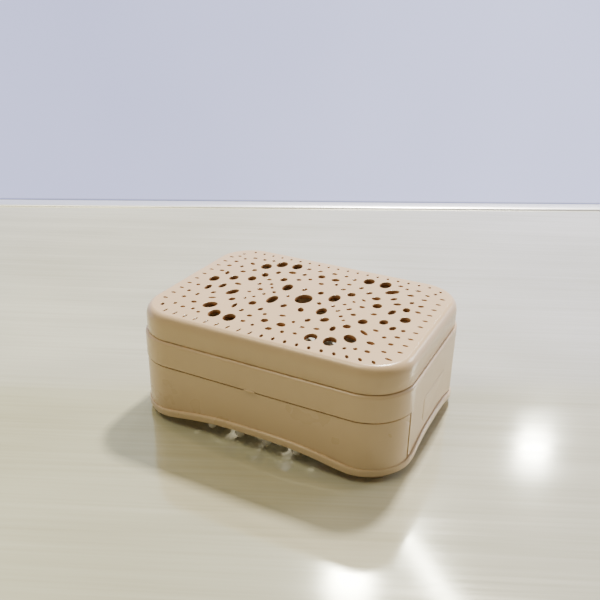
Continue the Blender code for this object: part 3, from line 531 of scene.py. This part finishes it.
def plate_with_holes(outlines):
    """Triangles of a flat plate whose rim is the first outline and whose holes are the others.

    A Delaunay net is drawn through all outlines, and the triangles whose middle lies inside
    a hole, on the same side of all its edges, are left out. Points are numbered outline by
    outline."""
    points = np.concatenate(outlines) / MM
    edges, start = [], 0
    for outline in outlines:
        index = start + np.arange(len(outline))
        edges.append(np.stack((index, np.roll(index, -1)), axis=1))
        start += len(outline)
    net = delaunay_2d_cdt(
        [Vector(p) for p in points.tolist()], np.concatenate(edges).tolist(), [], 1, 1e-7)
    triangles = np.array([[net[3][v][0] for v in face] for face in net[2]])
    middle = points[triangles].mean(axis=1)
    keep = np.ones(len(triangles), bool)
    for outline in outlines[1:]:
        ring = outline / MM
        centre = ring.mean(axis=0)
        size = np.hypot(*(ring - centre).T).max()
        near = np.flatnonzero(np.hypot(*(middle - centre).T) < size)
        p = middle[near][:, None, :]
        a, b = ring[None], np.roll(ring, -1, axis=0)[None]
        side = (b[..., 0] - a[..., 0]) * (p[..., 1] - a[..., 1])
        side -= (b[..., 1] - a[..., 1]) * (p[..., 0] - a[..., 0])
        inside = np.all(side > -1e-6, axis=1) | np.all(side < 1e-6, axis=1)
        keep[near[inside]] = False
    return triangles[keep]


def pierce(points, walls, top, under, tube_sets):
    """Points and faces of a body whose flat top and underside are pierced by tubes, and how many
    of the faces are flat; these come first.

    top and under number the body's points round its two flat faces. A set of tubes is an array
    tubes x rings x sides x 3, with the first ring in the top and the last in the underside."""
    first = len(points)
    index, outlines = [[top], [under]], [[points[top, :2]], [points[under, :2]]]
    points, walls = [points], [walls]
    for tubes in tube_sets:
        count, rows, sides = tubes.shape[:3]
        starts = first + np.arange(count) * rows * sides
        faces = ring_faces(rows, sides, close_rows=False)
        walls.append((faces[None] + starts[:, None, None]).reshape(-1, 4))
        points.append(tubes.reshape(-1, 3))
        for end, ring in enumerate((0, rows - 1)):
            index[end] += list(starts[:, None] + ring * sides + np.arange(sides))
            outlines[end] += list(tubes[:, ring, :, :2])
        first += count * rows * sides
    top, under = (np.concatenate(index[end])[plate_with_holes(outlines[end])] for end in (0, 1))
    flats = np.concatenate((top, under[:, ::-1])).tolist()
    return np.concatenate(points), flats + np.concatenate(walls).tolist(), len(flats)


# Lid

def in_metres(holes):
    """Holes given in millimetres and degrees, in metres and radians."""
    return np.column_stack((holes[:, :4] * MM, np.radians(holes[:, 4])))


def edge_slits():
    """Slits along the lid's edges. The front row lies at y = line + bend s^4 for s = x over the
    half length: the left slits are thin and lean back, and the others lean ever more with s.
    The back row is straight, and one more row stands along each short edge."""
    step = np.arange(LONG_SLITS) - LONG_SLITS // 2
    one = np.ones(LONG_SLITS)
    x = FRONT_MIDDLE + FRONT_PITCH * step
    share = x * MM / HALF_LENGTH
    width, height = (np.where(step < 0, *pair) for pair in zip(LEFT_SLIT, RIGHT_SLIT))
    lean = np.where(step < 0, LEFT_LEAN, RIGHT_LEAN + RIGHT_TURN * share)
    rows = [np.stack((x, FRONT_BEND * share ** 4 + FRONT_LINE, width, height, lean), 1)]
    x = BACK_PITCH * step + BACK_MIDDLE
    rows.append(np.column_stack((x, np.outer(one, BACK_SLITS))))
    step = np.arange(SHORT_SLITS) - (SHORT_SLITS - 1) / 2
    one = np.ones(SHORT_SLITS)
    for x, middle, pitch in END_ROWS:
        rows.append(np.column_stack((x * one, middle + pitch * step, np.outer(one, END_SLIT))))
    return in_metres(np.concatenate(rows))


def lid_profile():
    """Section of the lid from the flat top's rim round to the flat underside's rim, as inset and
    height pairs: a tight crease, a quarter of an ellipse down to the upright wall, the
    parting face, the plug, and the inner wall with its small quarter round."""
    crease_end = LID_CREASE_WIDTH / 2 * (1 + math.cos(LID_CREASE_ANGLE))
    crease_drop = LID_CREASE_WIDTH / 2 * math.sin(LID_CREASE_ANGLE)
    flat_rim = LID_INSET + LID_ROUND_REACH
    profile = []
    for t in np.linspace(0, 1, LID_CREASE_STEPS):
        drawn = t * (1 - t) * LID_CREASE_WIDTH + t * t * crease_end
        profile.append((flat_rim - drawn, LID_TOP - t * t * crease_drop))
    reach = LID_ROUND_REACH - crease_end
    drop = LID_ROUND_DROP - crease_drop
    first = math.atan(math.tan(LID_CREASE_ANGLE) * reach / drop)
    for a in np.linspace(first, math.pi / 2, LID_ROUND_STEPS)[1:]:
        across = (math.sin(a) - math.sin(first)) / (1 - math.sin(first))
        down = (math.cos(first) - math.cos(a)) / math.cos(first)
        profile.append((LID_INSET + reach * (1 - across), LID_TOP - crease_drop - drop * down))
    bottom = BAND_TOP + GAP
    plug_end = BAND_TOP - PLUG_DEPTH
    plug_outer = MOUTH_INSET + GAP
    plug_inner = plug_outer + PLUG_THICKNESS
    inner_wall = LID_INSET + LID_WALL
    edge, small = LID_EDGE, LID_EDGE_SHARE * LID_EDGE
    profile += [
        (LID_INSET, bottom + edge), (LID_INSET + small, bottom + small),
        (LID_INSET + edge, bottom), (plug_outer, bottom), (plug_outer, plug_end + edge),
        (plug_outer + edge, plug_end), (plug_inner - edge, plug_end),
        (plug_inner, plug_end + edge), (plug_inner, bottom + LID_RAMP[0]),
        (inner_wall, bottom + LID_RAMP[1]),
    ]
    for a in np.linspace(0, math.pi / 2, LID_INNER_STEPS):
        inset = inner_wall + LID_INNER_ROUND * (1 - math.cos(a))
        profile.append((inset, LID_TOP - LID_WALL - LID_INNER_ROUND * (1 - math.sin(a))))
    return profile


def hole_levels(lip, steps):
    """Rings down a hole as growth, height and painted shade: a quarter round of the lip's size
    from the flat top, the straight wall, and a small flare at the underside. The painted shade
    grows over the lip and is full down the wall and the flare."""
    levels = []
    for a in np.linspace(0, math.pi / 2, steps):
        shade = LIP_SHADE * (2 * a / math.pi) ** 2
        levels.append((lip * (1 - math.sin(a)), LID_TOP - lip * (1 - math.cos(a)), shade))
    underside = LID_TOP - LID_WALL
    levels.append((0.0, underside + UNDER_FLARE[1], 1.0))
    levels.append((UNDER_FLARE[0], underside, 1.0))
    return levels


def make_lid():
    """Perforated cap: the section is carried round the outline, and each hole is a short tube
    whose ends flare into the flat top and underside. A point attribute of painted shade is 0
    outside, 1 on the inner faces and down the holes, and in between on the lips of the holes."""
    stations = outline_stations(np.linspace(0, 90, LID_CORNER_STEPS), *LID_STEPS)
    rings = [corner_ring(stations, body_outline, *place) for place in lid_profile()]
    rows, columns = len(rings), stations[0].size
    top = np.arange(columns)
    # Painted shade: full on the inner round and underside of the lid, none on its outside
    painted_shade = [np.repeat(np.arange(rows) >= rows - LID_INNER_STEPS, columns)]
    holes = in_metres(np.array(HOLES))
    big = holes[:, 2] + holes[:, 3] > BIG_HOLE
    tube_sets = []
    for holes, (sides, steps, lip) in ((holes[big], BIG_LIP), (holes[~big], SMALL_LIP),
                                       (edge_slits(), SLIT_LIP)):
        levels = hole_levels(lip, steps)
        tubes = [np.insert(ellipse_outlines(holes, sides, grow), 2, height, axis=2)
                 for grow, height, _ in levels]
        tube_sets.append(np.stack(tubes, axis=1))
        painted_shade.append(np.tile(np.repeat([shade for _, _, shade in levels], sides), len(holes)))
    walls = ring_faces(rows, columns, close_rows=False)
    under = top + (rows - 1) * columns
    points, faces, flats = pierce(np.concatenate(rings), walls, top, under, tube_sets)
    return close_shell(new_piece("lid_cap", points, faces, flats, np.concatenate(painted_shade)))


# Upper body

def wall_angles(limit):
    """Corner angles with a close pair of stations on each side of the skirt's edge."""
    before = np.linspace(0, limit - EDGE_ANGLE, WALL_CORNER_STEPS[0])
    after = np.linspace(limit + EDGE_ANGLE, 90, WALL_CORNER_STEPS[1])
    return np.concatenate((before, after))


def carried_round(name, corners, rounds, steps):
    """Closed piece whose profile, a list of corner rings, is rounded and carried round."""
    rings = round_corners(corners, rounds, steps)
    return close_shell(new_piece(name, rings.reshape(-1, 3), ring_faces(*rings.shape[:2])))


def make_upper_body():
    """Band with a rounded lip round the mouth and a skirt down each short side, as one closed
    profile carried round the outline; the skirt's lower edge follows the arched rim."""
    stations = outline_stations(wall_angles(SKIRT_ANGLE), *WALL_STEPS)
    skirt = beyond_angle(stations, SKIRT_ANGLE)

    def bottom(where, x, y):
        return np.where(skirt, arch_height(where, x, y) + RIM_HEIGHT + GAP, SEAM)

    inner = np.where(skirt, SKIRT_THICKNESS, WALL)
    mouth_bottom = BAND_TOP - PLUG_DEPTH - MOUTH_CLEARANCE
    corners = [corner_ring(stations, body_outline, inset, height) for inset, height in (
        (0.0, bottom), (0.0, BAND_TOP), (MOUTH_INSET, BAND_TOP), (MOUTH_INSET, mouth_bottom),
        (WALL, mouth_bottom - MOUTH_RAMP), (WALL, SEAM + SKIRT_STEP[0]),
        (inner, SEAM + SKIRT_STEP[1]), (inner, bottom),
    )]
    body = carried_round("body_band", corners, BAND_ROUNDS, steps=6)
    return fuse(body, [grip_pad(-1), grip_pad(1), pry_lip()])


def grip_pad(side):
    """Shallow raised pad on a short side: a rounded rectangle in y and z whose rim falls to
    the wall in a soft shoulder."""
    stations = outline_stations(np.linspace(0, 90, PAD_CORNER_STEPS), *PAD_STEPS)
    rings = []
    for shrink, share in PAD_SHOULDER:
        y, z = on_outline(stations, *PAD_HALF, PAD_CORNER, shrink * MM)
        x = np.full(y.size, side * (HALF_LENGTH + share * PAD_RELIEF))
        rings.append(np.stack((x, y, z + PAD_MIDDLE), axis=1))
    faces = tube_faces(len(rings), stations[0].size)
    return close_shell(new_piece("grip_pad", np.concatenate(rings), faces), PAD_CRISP_ANGLE)


def pry_lip():
    """Small thumbnail lip under the band at mid-front: a wedge outline carried along X."""
    outline = np.array(PRY_LIP_OUTLINE) * MM + (-HALF_WIDTH, SEAM)
    return rod_shape("pry_lip", outline, *PRY_LIP_ENDS, "X", chamfer=0.1 * MM)


# Base shell

def make_base_shell():
    """Wall with a flared rim that arches over each side, pockets for the skirts and a tongue
    behind the seam, as one closed profile carried round; ribs, decks, bearings and feet are
    united with it."""
    stations = outline_stations(wall_angles(POCKET_ANGLE), *WALL_STEPS)
    pocket = beyond_angle(stations, POCKET_ANGLE)
    outer = np.where(pocket, SKIRT_THICKNESS + GAP, BASE_INSET)
    inner = np.where(pocket, 2 * SKIRT_THICKNESS + GAP, BASE_INSET + WALL)
    ledge = SEAM - SEAM_GAP
    tongue_inner = TONGUE_INSET + TONGUE_THICKNESS

    def rim(lift):
        return lambda where, x, y: arch_height(where, x, y) + lift

    corners = [corner_ring(stations, *place) for place in (
        (body_outline, inner, rim(0.0)), (rim_outline, 0.0, rim(0.0)),
        (rim_outline, 0.0, rim(RIM_HEIGHT)), (body_outline, outer, rim(RIM_HEIGHT - RIM_SLOPE)),
        (body_outline, outer, ledge), (body_outline, TONGUE_INSET, ledge + LEDGE_RISE),
        (body_outline, TONGUE_INSET, TONGUE_TOP), (body_outline, tongue_inner, TONGUE_TOP),
        (body_outline, tongue_inner, TONGUE_ROOT), (body_outline, inner, TONGUE_RAMP),
    )]
    shell = carried_round("base_wall", corners, BASE_ROUNDS, steps=5)
    extras = [foot(sign_x, sign_y) for sign_x in (-1, 1) for sign_y in (-1, 1)]
    extras += [drain_deck(side) for side in (-1, 1)]
    extras += [bay_rib(side) for side in (-1, 1)]
    extras += [bearing(x, side) for x in roller_places() for side in (-1, 1)]
    return fuse(shell, extras)


def foot(sign_x, sign_y):
    """Corner foot: a rounded section carried along an arc inside the rim, closed at its ends;
    its last steps at the long side rise off the floor as a soft shoulder."""
    along = np.radians(np.linspace(*FOOT_ANGLES, FOOT_STEPS))
    angle = sign_y * np.where(sign_x > 0, along, math.pi - along)
    lift = np.zeros(FOOT_STEPS)
    lift[-len(FOOT_RISE):] = FOOT_RISE
    stations = (np.full(FOOT_STEPS, float(sign_x)), np.full(FOOT_STEPS, float(sign_y)), angle)
    columns = []
    for inset, height in FOOT_SECTION:
        x, y = rim_outline(stations, inset * MM)
        level = height * MM + lift * MM * (height < FOOT_SOLE)
        columns.append(np.stack((x, y, level), axis=1))
    points = np.stack(columns, axis=1).reshape(-1, 3)
    return close_shell(new_piece("foot", points, tube_faces(FOOT_STEPS, len(FOOT_SECTION))))


def drain_deck(side):
    """Drain deck at one end of the bay: a plate whose outline follows the wall, with long slots,
    each the two half circles of a stadium, whose edges are rounded."""
    inset = BASE_INSET + WALL - OVERLAP
    end = HALF_LENGTH - 2 * SKIRT_THICKNESS - GAP + OVERLAP
    corner = np.radians(np.linspace(0, 90, DECK_CORNER_STEPS))
    one = np.ones(corner.size)
    x, y = body_outline((one, one, corner), inset)
    x = np.minimum(x, end)
    half = np.stack((np.append(x, BAY_HALF), np.append(y, HALF_WIDTH - inset)), axis=1)
    rim = np.concatenate((half, half[::-1] * (1, -1)))
    rings = [np.insert(rim, 2, height, axis=1)
             for height in (DECK_TOP, DECK_TOP - DECK_THICKNESS)]
    t = (np.arange(SLOT_SIDES) + 0.5) * 2 * math.pi / SLOT_SIDES
    middle = (SLOT_FIRST + SLOT_PITCH * np.arange(SLOTS))[:, None, None]
    grow, down = np.array(SLOT_EDGE).T[:, :, None] * MM
    u = middle + (SLOT_RADIUS + grow) * np.cos(t)
    v = (SLOT_RADIUS + grow) * np.sin(t) + SLOT_STRAIGHT * np.sign(np.sin(t))
    slots = np.stack(np.broadcast_arrays(u, v, DECK_TOP - down), axis=-1)
    top = np.arange(len(rim))
    walls = ring_faces(2, len(rim), close_rows=False)
    points, faces, flats = pierce(np.concatenate(rings), walls, top, top + len(rim), [slots])
    points[:, 0] *= side
    return close_shell(new_piece("deck", points, faces, flats))


def bay_rib(side):
    """Upright rib along the roller bay's end, a thin rounded box."""
    near, far = sorted((side * BAY_HALF, side * (BAY_HALF + RIB_THICKNESS)))
    low, high, edge = RIB_BOTTOM, RIB_TOP, RIB_EDGE
    outline = (
        (near + edge, low), (far - edge, low), (far, low + edge), (far, high - edge),
        (far - edge, high), (near + edge, high), (near, high - edge), (near, low + edge),
    )
    end = HALF_WIDTH - BASE_INSET - WALL + OVERLAP
    return rod_shape("rib", outline, -end, end, "Y", chamfer=0.05 * MM)


def bearing(x, side):
    """Half-round boss on a long wall with a bore open below: an outer and an inner arc, joined
    at the narrow mouth, carried along Y."""
    outer_start = math.asin(-BEARING_DROP / BEARING_RADIUS)
    inner_start = -math.acos(BORE_MOUTH / BORE_RADIUS)
    over = np.linspace(outer_start, math.pi - outer_start, BEARING_STEPS)
    back = np.linspace(math.pi - inner_start, inner_start, BEARING_STEPS)
    outline = np.concatenate((
        BEARING_RADIUS * np.stack((np.cos(over), np.sin(over)), 1),
        [(-BORE_MOUTH, -BEARING_DROP)],
        BORE_RADIUS * np.stack((np.cos(back), np.sin(back)), 1),
        [(BORE_MOUTH, -BEARING_DROP)],
    ))
    outline += (x, AXIS_HEIGHT)
    near, far = CORE_END + GAP, HALF_WIDTH - BASE_INSET - WALL + OVERLAP
    low, high = sorted((side * near, side * far))
    return rod_shape("bearing", outline, low, high, "Y", chamfer=0.1 * MM)


# Rollers

def roller_places():
    """Distance of each roller's axis from the middle, along X."""
    count = len(ROLLER_TURNS)
    return [(k - (count - 1) / 2) * ROLLER_PITCH for k in range(count)]


def roller_core():
    """Core about the Y axis turned from half a section: the journal, its step and the core's
    chamfered edge; a ring's points are (r cos a, y, r sin a)."""
    half = [
        (JOURNAL_END, JOURNAL_RADIUS - JOURNAL_EDGE), (JOURNAL_END - JOURNAL_EDGE, JOURNAL_RADIUS),
        (CORE_END, JOURNAL_RADIUS), (CORE_END, CORE_RADIUS - CORE_EDGE),
        (CORE_END - CORE_EDGE, CORE_RADIUS),
    ]
    profile = np.array([(-y, r) for y, r in half] + half[::-1])
    angle = np.linspace(0, 2 * math.pi, CORE_SIDES, endpoint=False)
    x = profile[:, 1:] * np.cos(angle)
    z = profile[:, 1:] * np.sin(angle)
    y = np.repeat(profile[:, :1], CORE_SIDES, axis=1)
    points = np.stack((x, y, z), axis=-1).reshape(-1, 3)
    return close_shell(new_piece("core", points, tube_faces(len(profile), CORE_SIDES)))


def roller_knobs():
    """Rings of knobs, every other ring turned by half a step. A knob is a round peg with a
    hemispherical end, its rings at the distances and radii of that dome's angles."""
    dome = np.radians(KNOB_DOME)
    middle = KNOB_TIP - KNOB_RADIUS
    away = np.append(KNOB_ROOT, middle + KNOB_RADIUS * np.sin(dome))
    radius = np.append(KNOB_RADIUS, KNOB_RADIUS * np.cos(dome))
    spin = np.linspace(0, 2 * math.pi, KNOB_SIDES, endpoint=False)
    out = np.append(np.repeat(away, KNOB_SIDES), KNOB_TIP)
    u = np.append(np.outer(radius, np.cos(spin)), 0.0)
    v = np.append(np.outer(radius, np.sin(spin)), 0.0)
    index = np.arange(KNOB_SIDES)
    last = (len(away) - 1) * KNOB_SIDES
    top = np.full(KNOB_SIDES, last + KNOB_SIDES)
    tip = np.stack((last + index, last + np.roll(index, -1), top), 1)
    peg = ring_faces(len(away), KNOB_SIDES, close_rows=False).tolist() + tip.tolist()
    peg.append(list(range(KNOB_SIDES)))
    points, faces = [], []
    for ring in range(KNOB_RINGS):
        place = -KNOB_RING_END + 2 * KNOB_RING_END * ring / (KNOB_RINGS - 1)
        for number in range(KNOBS_PER_RING):
            turn = 2 * math.pi * (number + 0.5 * (ring % 2)) / KNOBS_PER_RING
            start = len(points) * out.size
            points.append(np.stack((
                out * math.sin(turn) + u * math.cos(turn), place + v,
                -out * math.cos(turn) + u * math.sin(turn)), axis=1))
            faces += [[start + i for i in face] for face in peg]
    return close_shell(new_piece("knobs", np.concatenate(points), faces), KNOB_CRISP_ANGLE)


def make_rollers():
    """Four copies of the roller's shape, each turned about its own axis by its resting angle
    and moved to its place."""
    core = fuse(roller_core(), [roller_knobs()])
    points = np.empty(len(core.data.vertices) * 3)
    core.data.vertices.foreach_get("co", points)
    points = points.reshape(-1, 3)
    rollers = []
    for number, (x, turn) in enumerate(zip(roller_places(), ROLLER_TURNS), start=1):
        mesh = core.data.copy()
        c, s = math.cos(math.radians(turn)), math.sin(math.radians(turn))
        moved = np.stack((
            points[:, 0] * c - points[:, 2] * s + x, points[:, 1],
            points[:, 0] * s + points[:, 2] * c + AXIS_HEIGHT), axis=1)
        mesh.vertices.foreach_set("co", moved.reshape(-1))
        mesh.update()
        rollers.append(in_scene(f"knobbed_roller_{number}", mesh))
    bpy.data.objects.remove(core, do_unlink=True)
    return rollers


# Materials

def new_material(name):
    material = bpy.data.materials.new(name)
    material.use_nodes = True
    return material, material.node_tree, material.node_tree.nodes["Principled BSDF"]


def feed(tree, node, inputs):
    """Link or set a node's inputs, by name or number; a plain colour is red, green and blue."""
    for key, value in inputs.items():
        socket = node.inputs[key]
        if isinstance(value, bpy.types.NodeSocket):
            tree.links.new(value, socket)
        else:
            socket.default_value = (*value, 1) if socket.type == "RGBA" else value


def add_node(tree, kind, inputs=None, **settings):
    node = tree.nodes.new(kind)
    for key, value in settings.items():
        setattr(node, key, value)
    feed(tree, node, inputs or {})
    return node


def own_place(tree):
    return add_node(tree, "ShaderNodeTexCoord").outputs["Object"]


def clouds(tree, place, scale, detail, roughness=0.5, kind="Fac"):
    """Noise over a place, of so many patches to the metre, as a number or a colour."""
    return add_node(tree, "ShaderNodeTexNoise", {
        "Vector": place, "Scale": scale, "Detail": detail, "Roughness": roughness,
    }).outputs[kind]


def ranged(tree, value, low=0.0, high=1.0, start=0.0, end=1.0):
    """Value from its range low to high carried over to the range start to end."""
    return add_node(tree, "ShaderNodeMapRange", {
        "Value": value, "From Min": low, "From Max": high, "To Min": start, "To Max": end,
    }).outputs["Result"]


def bumped(tree, height, strength, distance, **under):
    """Normal raised by a height, over the Normal of a coarser bump if one is given."""
    return add_node(tree, "ShaderNodeBump", {
        "Height": height, "Strength": strength, "Distance": distance, **under,
    }).outputs["Normal"]


def mixed(tree, share, first, second):
    """Number from the first to the second by a share."""
    node = add_node(tree, "ShaderNodeMix", {0: share, 2: first, 3: second}, data_type="FLOAT")
    return node.outputs[0]


def tinted(tree, share, first, second, blend="MIX"):
    """Colour from the first to the second by a share."""
    return add_node(tree, "ShaderNodeMix", {0: share, 6: first, 7: second},
                    data_type="RGBA", blend_type=blend).outputs[2]


def along_way(tree, place, way, reach):
    """Share from 0 to 1 between the two reaches along a flat direction."""
    node = add_node(tree, "ShaderNodeVectorMath", {0: place, 1: (*way, 0.0)},
                    operation="DOT_PRODUCT")
    return ranged(tree, node.outputs["Value"], *reach)


def across_view(tree, place):
    """Share from 0 at the left of the view to 1 at its right, along the floor."""
    way = (math.cos(VIEW_TURN), math.sin(VIEW_TURN))
    return along_way(tree, place, way, (-VIEW_HALF, VIEW_HALF))


def moulded_plastic(name, tones, roughness, painted_shade_colour=None):
    """Satin moulded plastic: a cloudy tone at hand scale, fine speckle, a soft waviness and a
    fine grain in the bump, and a roughness that varies with handling. A colour of painted shade,
    if given, is blended in by the piece's painted-shade attribute, fully where that is 1."""
    material, tree, shader = new_material(name)
    light, dark = tones
    place = own_place(tree)
    cloud = clouds(tree, place, scale=55.0, detail=3.0, roughness=0.55)
    speck = clouds(tree, place, scale=2600.0, detail=2.0, roughness=0.6, kind="Color")
    wave = clouds(tree, place, scale=140.0, detail=1.0, roughness=0.4)
    grain = clouds(tree, place, scale=5200.0, detail=2.0, roughness=0.55)
    tone = tinted(tree, ranged(tree, cloud, low=0.15, high=0.85), dark, light)
    colour = tinted(tree, SPECKLE, tone, speck, blend="MULTIPLY")
    if painted_shade_colour:
        # Painted shade: the attribute blends the shade colour into the tone
        inside = add_node(tree, "ShaderNodeAttribute", attribute_name="painted_shade").outputs["Fac"]
        colour = tinted(tree, inside, colour, painted_shade_colour)
    gloss = ranged(tree, cloud, start=roughness - HANDLING, end=roughness + HANDLING)
    soft = bumped(tree, wave, strength=0.35, distance=0.12 * MM)
    fine = bumped(tree, grain, strength=0.25, distance=0.02 * MM, Normal=soft)
    feed(tree, shader, {"Base Color": colour, "Roughness": gloss, "IOR": 1.49, "Normal": fine})
    return material


def counter_finish():
    """Brushed pale metal counter: olive at the left and cooler at the right, cloudy patches, and
    fine and broad streaks along the view's width in its tone, gloss and bump."""
    material, tree, shader = new_material("pale_counter")
    place = own_place(tree)
    fields = []
    for length, width, detail in (FINE_STREAKS, BROAD_STREAKS, PATCHES):
        stretch = add_node(tree, "ShaderNodeMapping", {
            "Vector": place, "Rotation": (0, 0, VIEW_TURN - STREAK_LEAN),
            "Scale": (length, width, 1)}, vector_type="TEXTURE")
        stretched = stretch.outputs["Vector"]
        fields.append(clouds(tree, stretched, scale=1.0, detail=detail, roughness=0.6))
    fine, broad, patch = fields
    mean = mixed(tree, PATCH_SHARE, mixed(tree, BROAD_SHARE, fine, broad), patch)
    spread = ranged(tree, mean, low=0.36, high=0.64)
    left, right = (tinted(tree, spread, *tones) for tones in (COUNTER_LEFT, COUNTER_RIGHT))
    feed(tree, shader, {
        "Base Color": tinted(tree, across_view(tree, place), left, right),
        "Roughness": ranged(tree, spread, start=0.06, end=0.15), "Metallic": 0.45,
        "Normal": bumped(tree, fine, strength=0.25, distance=0.02 * MM)})
    return material


def painted_wall_glow():
    """Plain pale wall whose light is painted as a soft glow of its own, paler at the right, with a
    faint cloudiness and a painted shade line along its foot, behind the bead."""
    material, tree, shader = new_material("pale_wall")
    place = own_place(tree)
    cloud = clouds(tree, place, scale=9.0, detail=2.0)
    share = mixed(tree, ROOM_WALL_CLOUDS, across_view(tree, place), cloud)
    height = add_node(tree, "ShaderNodeSeparateXYZ", {0: place}).outputs["Z"]
    # Painted shade: the glow dims towards the wall's foot, where the bead stands before it
    feed(tree, shader, {
        "Emission Color": tinted(tree, share, ROOM_WALL_GLOW_LEFT, ROOM_WALL_GLOW_RIGHT),
        "Emission Strength": ranged(tree, height, *ROOM_WALL_FOOT_SHADE, start=0.35),
        "Base Color": (0.03, 0.03, 0.035), "Roughness": 0.95})
    return material


# Room, light and camera

def view_axes():
    """Right, up and forward directions of the camera from its turn, tilt and roll."""
    flat = math.cos(VIEW_TILT)
    forward = Vector((-math.sin(VIEW_TURN) * flat, math.cos(VIEW_TURN) * flat,
                      -math.sin(VIEW_TILT)))
    right = forward.cross(Vector((0, 0, 1))).normalized()
    up = right.cross(forward)
    rolled = right * math.cos(VIEW_ROLL) + up * math.sin(VIEW_ROLL)
    return rolled, up * math.cos(VIEW_ROLL) - right * math.sin(VIEW_ROLL), forward


def make_camera():
    right, up, forward = view_axes()
    data = bpy.data.cameras.new("camera")
    data.sensor_width = SENSOR_WIDTH
    data.lens = LENS
    data.clip_start = CLIP_START
    camera = in_scene("camera", data)
    turn = Matrix((right, up, -forward)).transposed()
    camera.matrix_world = Matrix.Translation(CAMERA_PLACE) @ turn.to_4x4()
    bpy.context.scene.camera = camera


def make_room():
    """Flat counter, an upright wall behind it across the view, and the bead at its foot."""
    corners = [(x * COUNTER_REACH, y * COUNTER_REACH, 0)
               for x, y in ((-1, -1), (1, -1), (1, 1), (-1, 1))]
    floor = new_piece("counter", corners, [(0, 1, 2, 3)])
    floor.data.materials.append(counter_finish())
    heading = Vector((-math.sin(VIEW_TURN), math.cos(VIEW_TURN), 0))
    foot_point = Vector((CAMERA_PLACE.x, CAMERA_PLACE.y, 0)) + heading * ROOM_WALL_AWAY
    heading.rotate(Matrix.Rotation(ROOM_WALL_TURN, 3, "Z"))
    across = Vector((heading.y, -heading.x, 0))
    corners = [foot_point + across * side * ROOM_WALL_REACH + Vector((0, 0, height))
               for height in (0, ROOM_WALL_HEIGHT) for side in (-1, 1)]
    wall = new_piece("wall", corners, [(0, 1, 3, 2)])
    wall.data.materials.append(painted_wall_glow())
    wall.visible_shadow = False
    bead = edge_bead(foot_point, across, heading)


def edge_bead(foot_point, across, heading):
    """Low metal bead in front of the wall's foot: points (r cos a, f r sin a) of half a circle
    flattened by f, carried along the wall."""
    a = np.linspace(0, math.pi, BEAD_STEPS)
    away = BEAD_RADIUS * (np.cos(a) - BEAD_AWAY)
    height = BEAD_FLATNESS * BEAD_RADIUS * np.sin(a)
    rows = []
    for side in (-ROOM_WALL_REACH, ROOM_WALL_REACH):
        base = np.array(foot_point + across * side)
        rows.append(base + np.outer(away, heading) + np.outer(height, (0, 0, 1)))
    faces = ring_faces(2, a.size, close_rows=False, close_columns=False)
    bead = new_piece("counter_bead", np.concatenate(rows), faces)
    material, tree, shader = new_material("bead_metal")
    feed(tree, shader, {"Base Color": (0.86, 0.88, 0.86), "Metallic": 0.8, "Roughness": 0.35})
    bead.data.materials.append(material)
    return bead


def soft_light(name, place, size, power, colour, turn):
    """Soft light of a width and height, facing the dish and turned about its own axis."""
    data = bpy.data.lights.new(name, "AREA")
    data.shape = "RECTANGLE"
    data.size, data.size_y = size
    data.energy = power
    data.color = colour
    light = in_scene(name, data)
    facing = Vector(place).to_track_quat("Z", "Y").to_matrix()
    facing = facing @ Matrix.Rotation(math.radians(turn), 3, "Z")
    light.matrix_world = Matrix.Translation(place) @ facing.to_4x4()


def make_room_light():
    """Room light that is pale and cool towards the wall and dim and warm towards the front."""
    world = bpy.data.worlds.new("room_light")
    world.use_nodes = True
    tree = world.node_tree
    way = add_node(tree, "ShaderNodeTexCoord").outputs["Generated"]
    heading = (-math.sin(VIEW_TURN), math.cos(VIEW_TURN))
    share = along_way(tree, way, heading, ROOM_FADE)
    feed(tree, tree.nodes["Background"], {"Color": tinted(tree, share, ROOM_FRONT, ROOM_BACK)})
    bpy.context.scene.world = world


def dress(piece, material, body, node):
    """Give a finished piece its material, body, replaced node and material slot."""
    piece.data.materials.clear()
    piece.data.materials.append(material)
    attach(piece, body)
    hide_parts(node)


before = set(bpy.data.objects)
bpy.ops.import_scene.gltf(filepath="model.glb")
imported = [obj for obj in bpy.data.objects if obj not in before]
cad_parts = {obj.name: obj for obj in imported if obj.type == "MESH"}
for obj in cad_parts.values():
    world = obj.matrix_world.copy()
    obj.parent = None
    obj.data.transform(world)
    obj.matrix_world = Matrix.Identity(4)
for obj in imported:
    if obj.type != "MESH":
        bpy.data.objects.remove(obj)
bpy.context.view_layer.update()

dress(make_lid(), moulded_plastic("lid_moulding", BEIGE, roughness=0.25, painted_shade_colour=PAINTED_SHADE_BEIGE),
      "cover", "lid")
dress(make_upper_body(), moulded_plastic("band_moulding", BEIGE, roughness=0.25),
      "upper", "upper_body")
dress(make_base_shell(), moulded_plastic("base_moulding", BEIGE, roughness=0.28),
      "base", "base_shell")
roller_finish = moulded_plastic("roller_moulding", OFF_WHITE, roughness=0.45)
for number, roller in enumerate(make_rollers(), start=1):
    dress(roller, roller_finish, f"spinner_{number}", f"roller_{number}")

make_camera()
make_room()
for light in LIGHTS:
    soft_light(*light)
make_room_light()
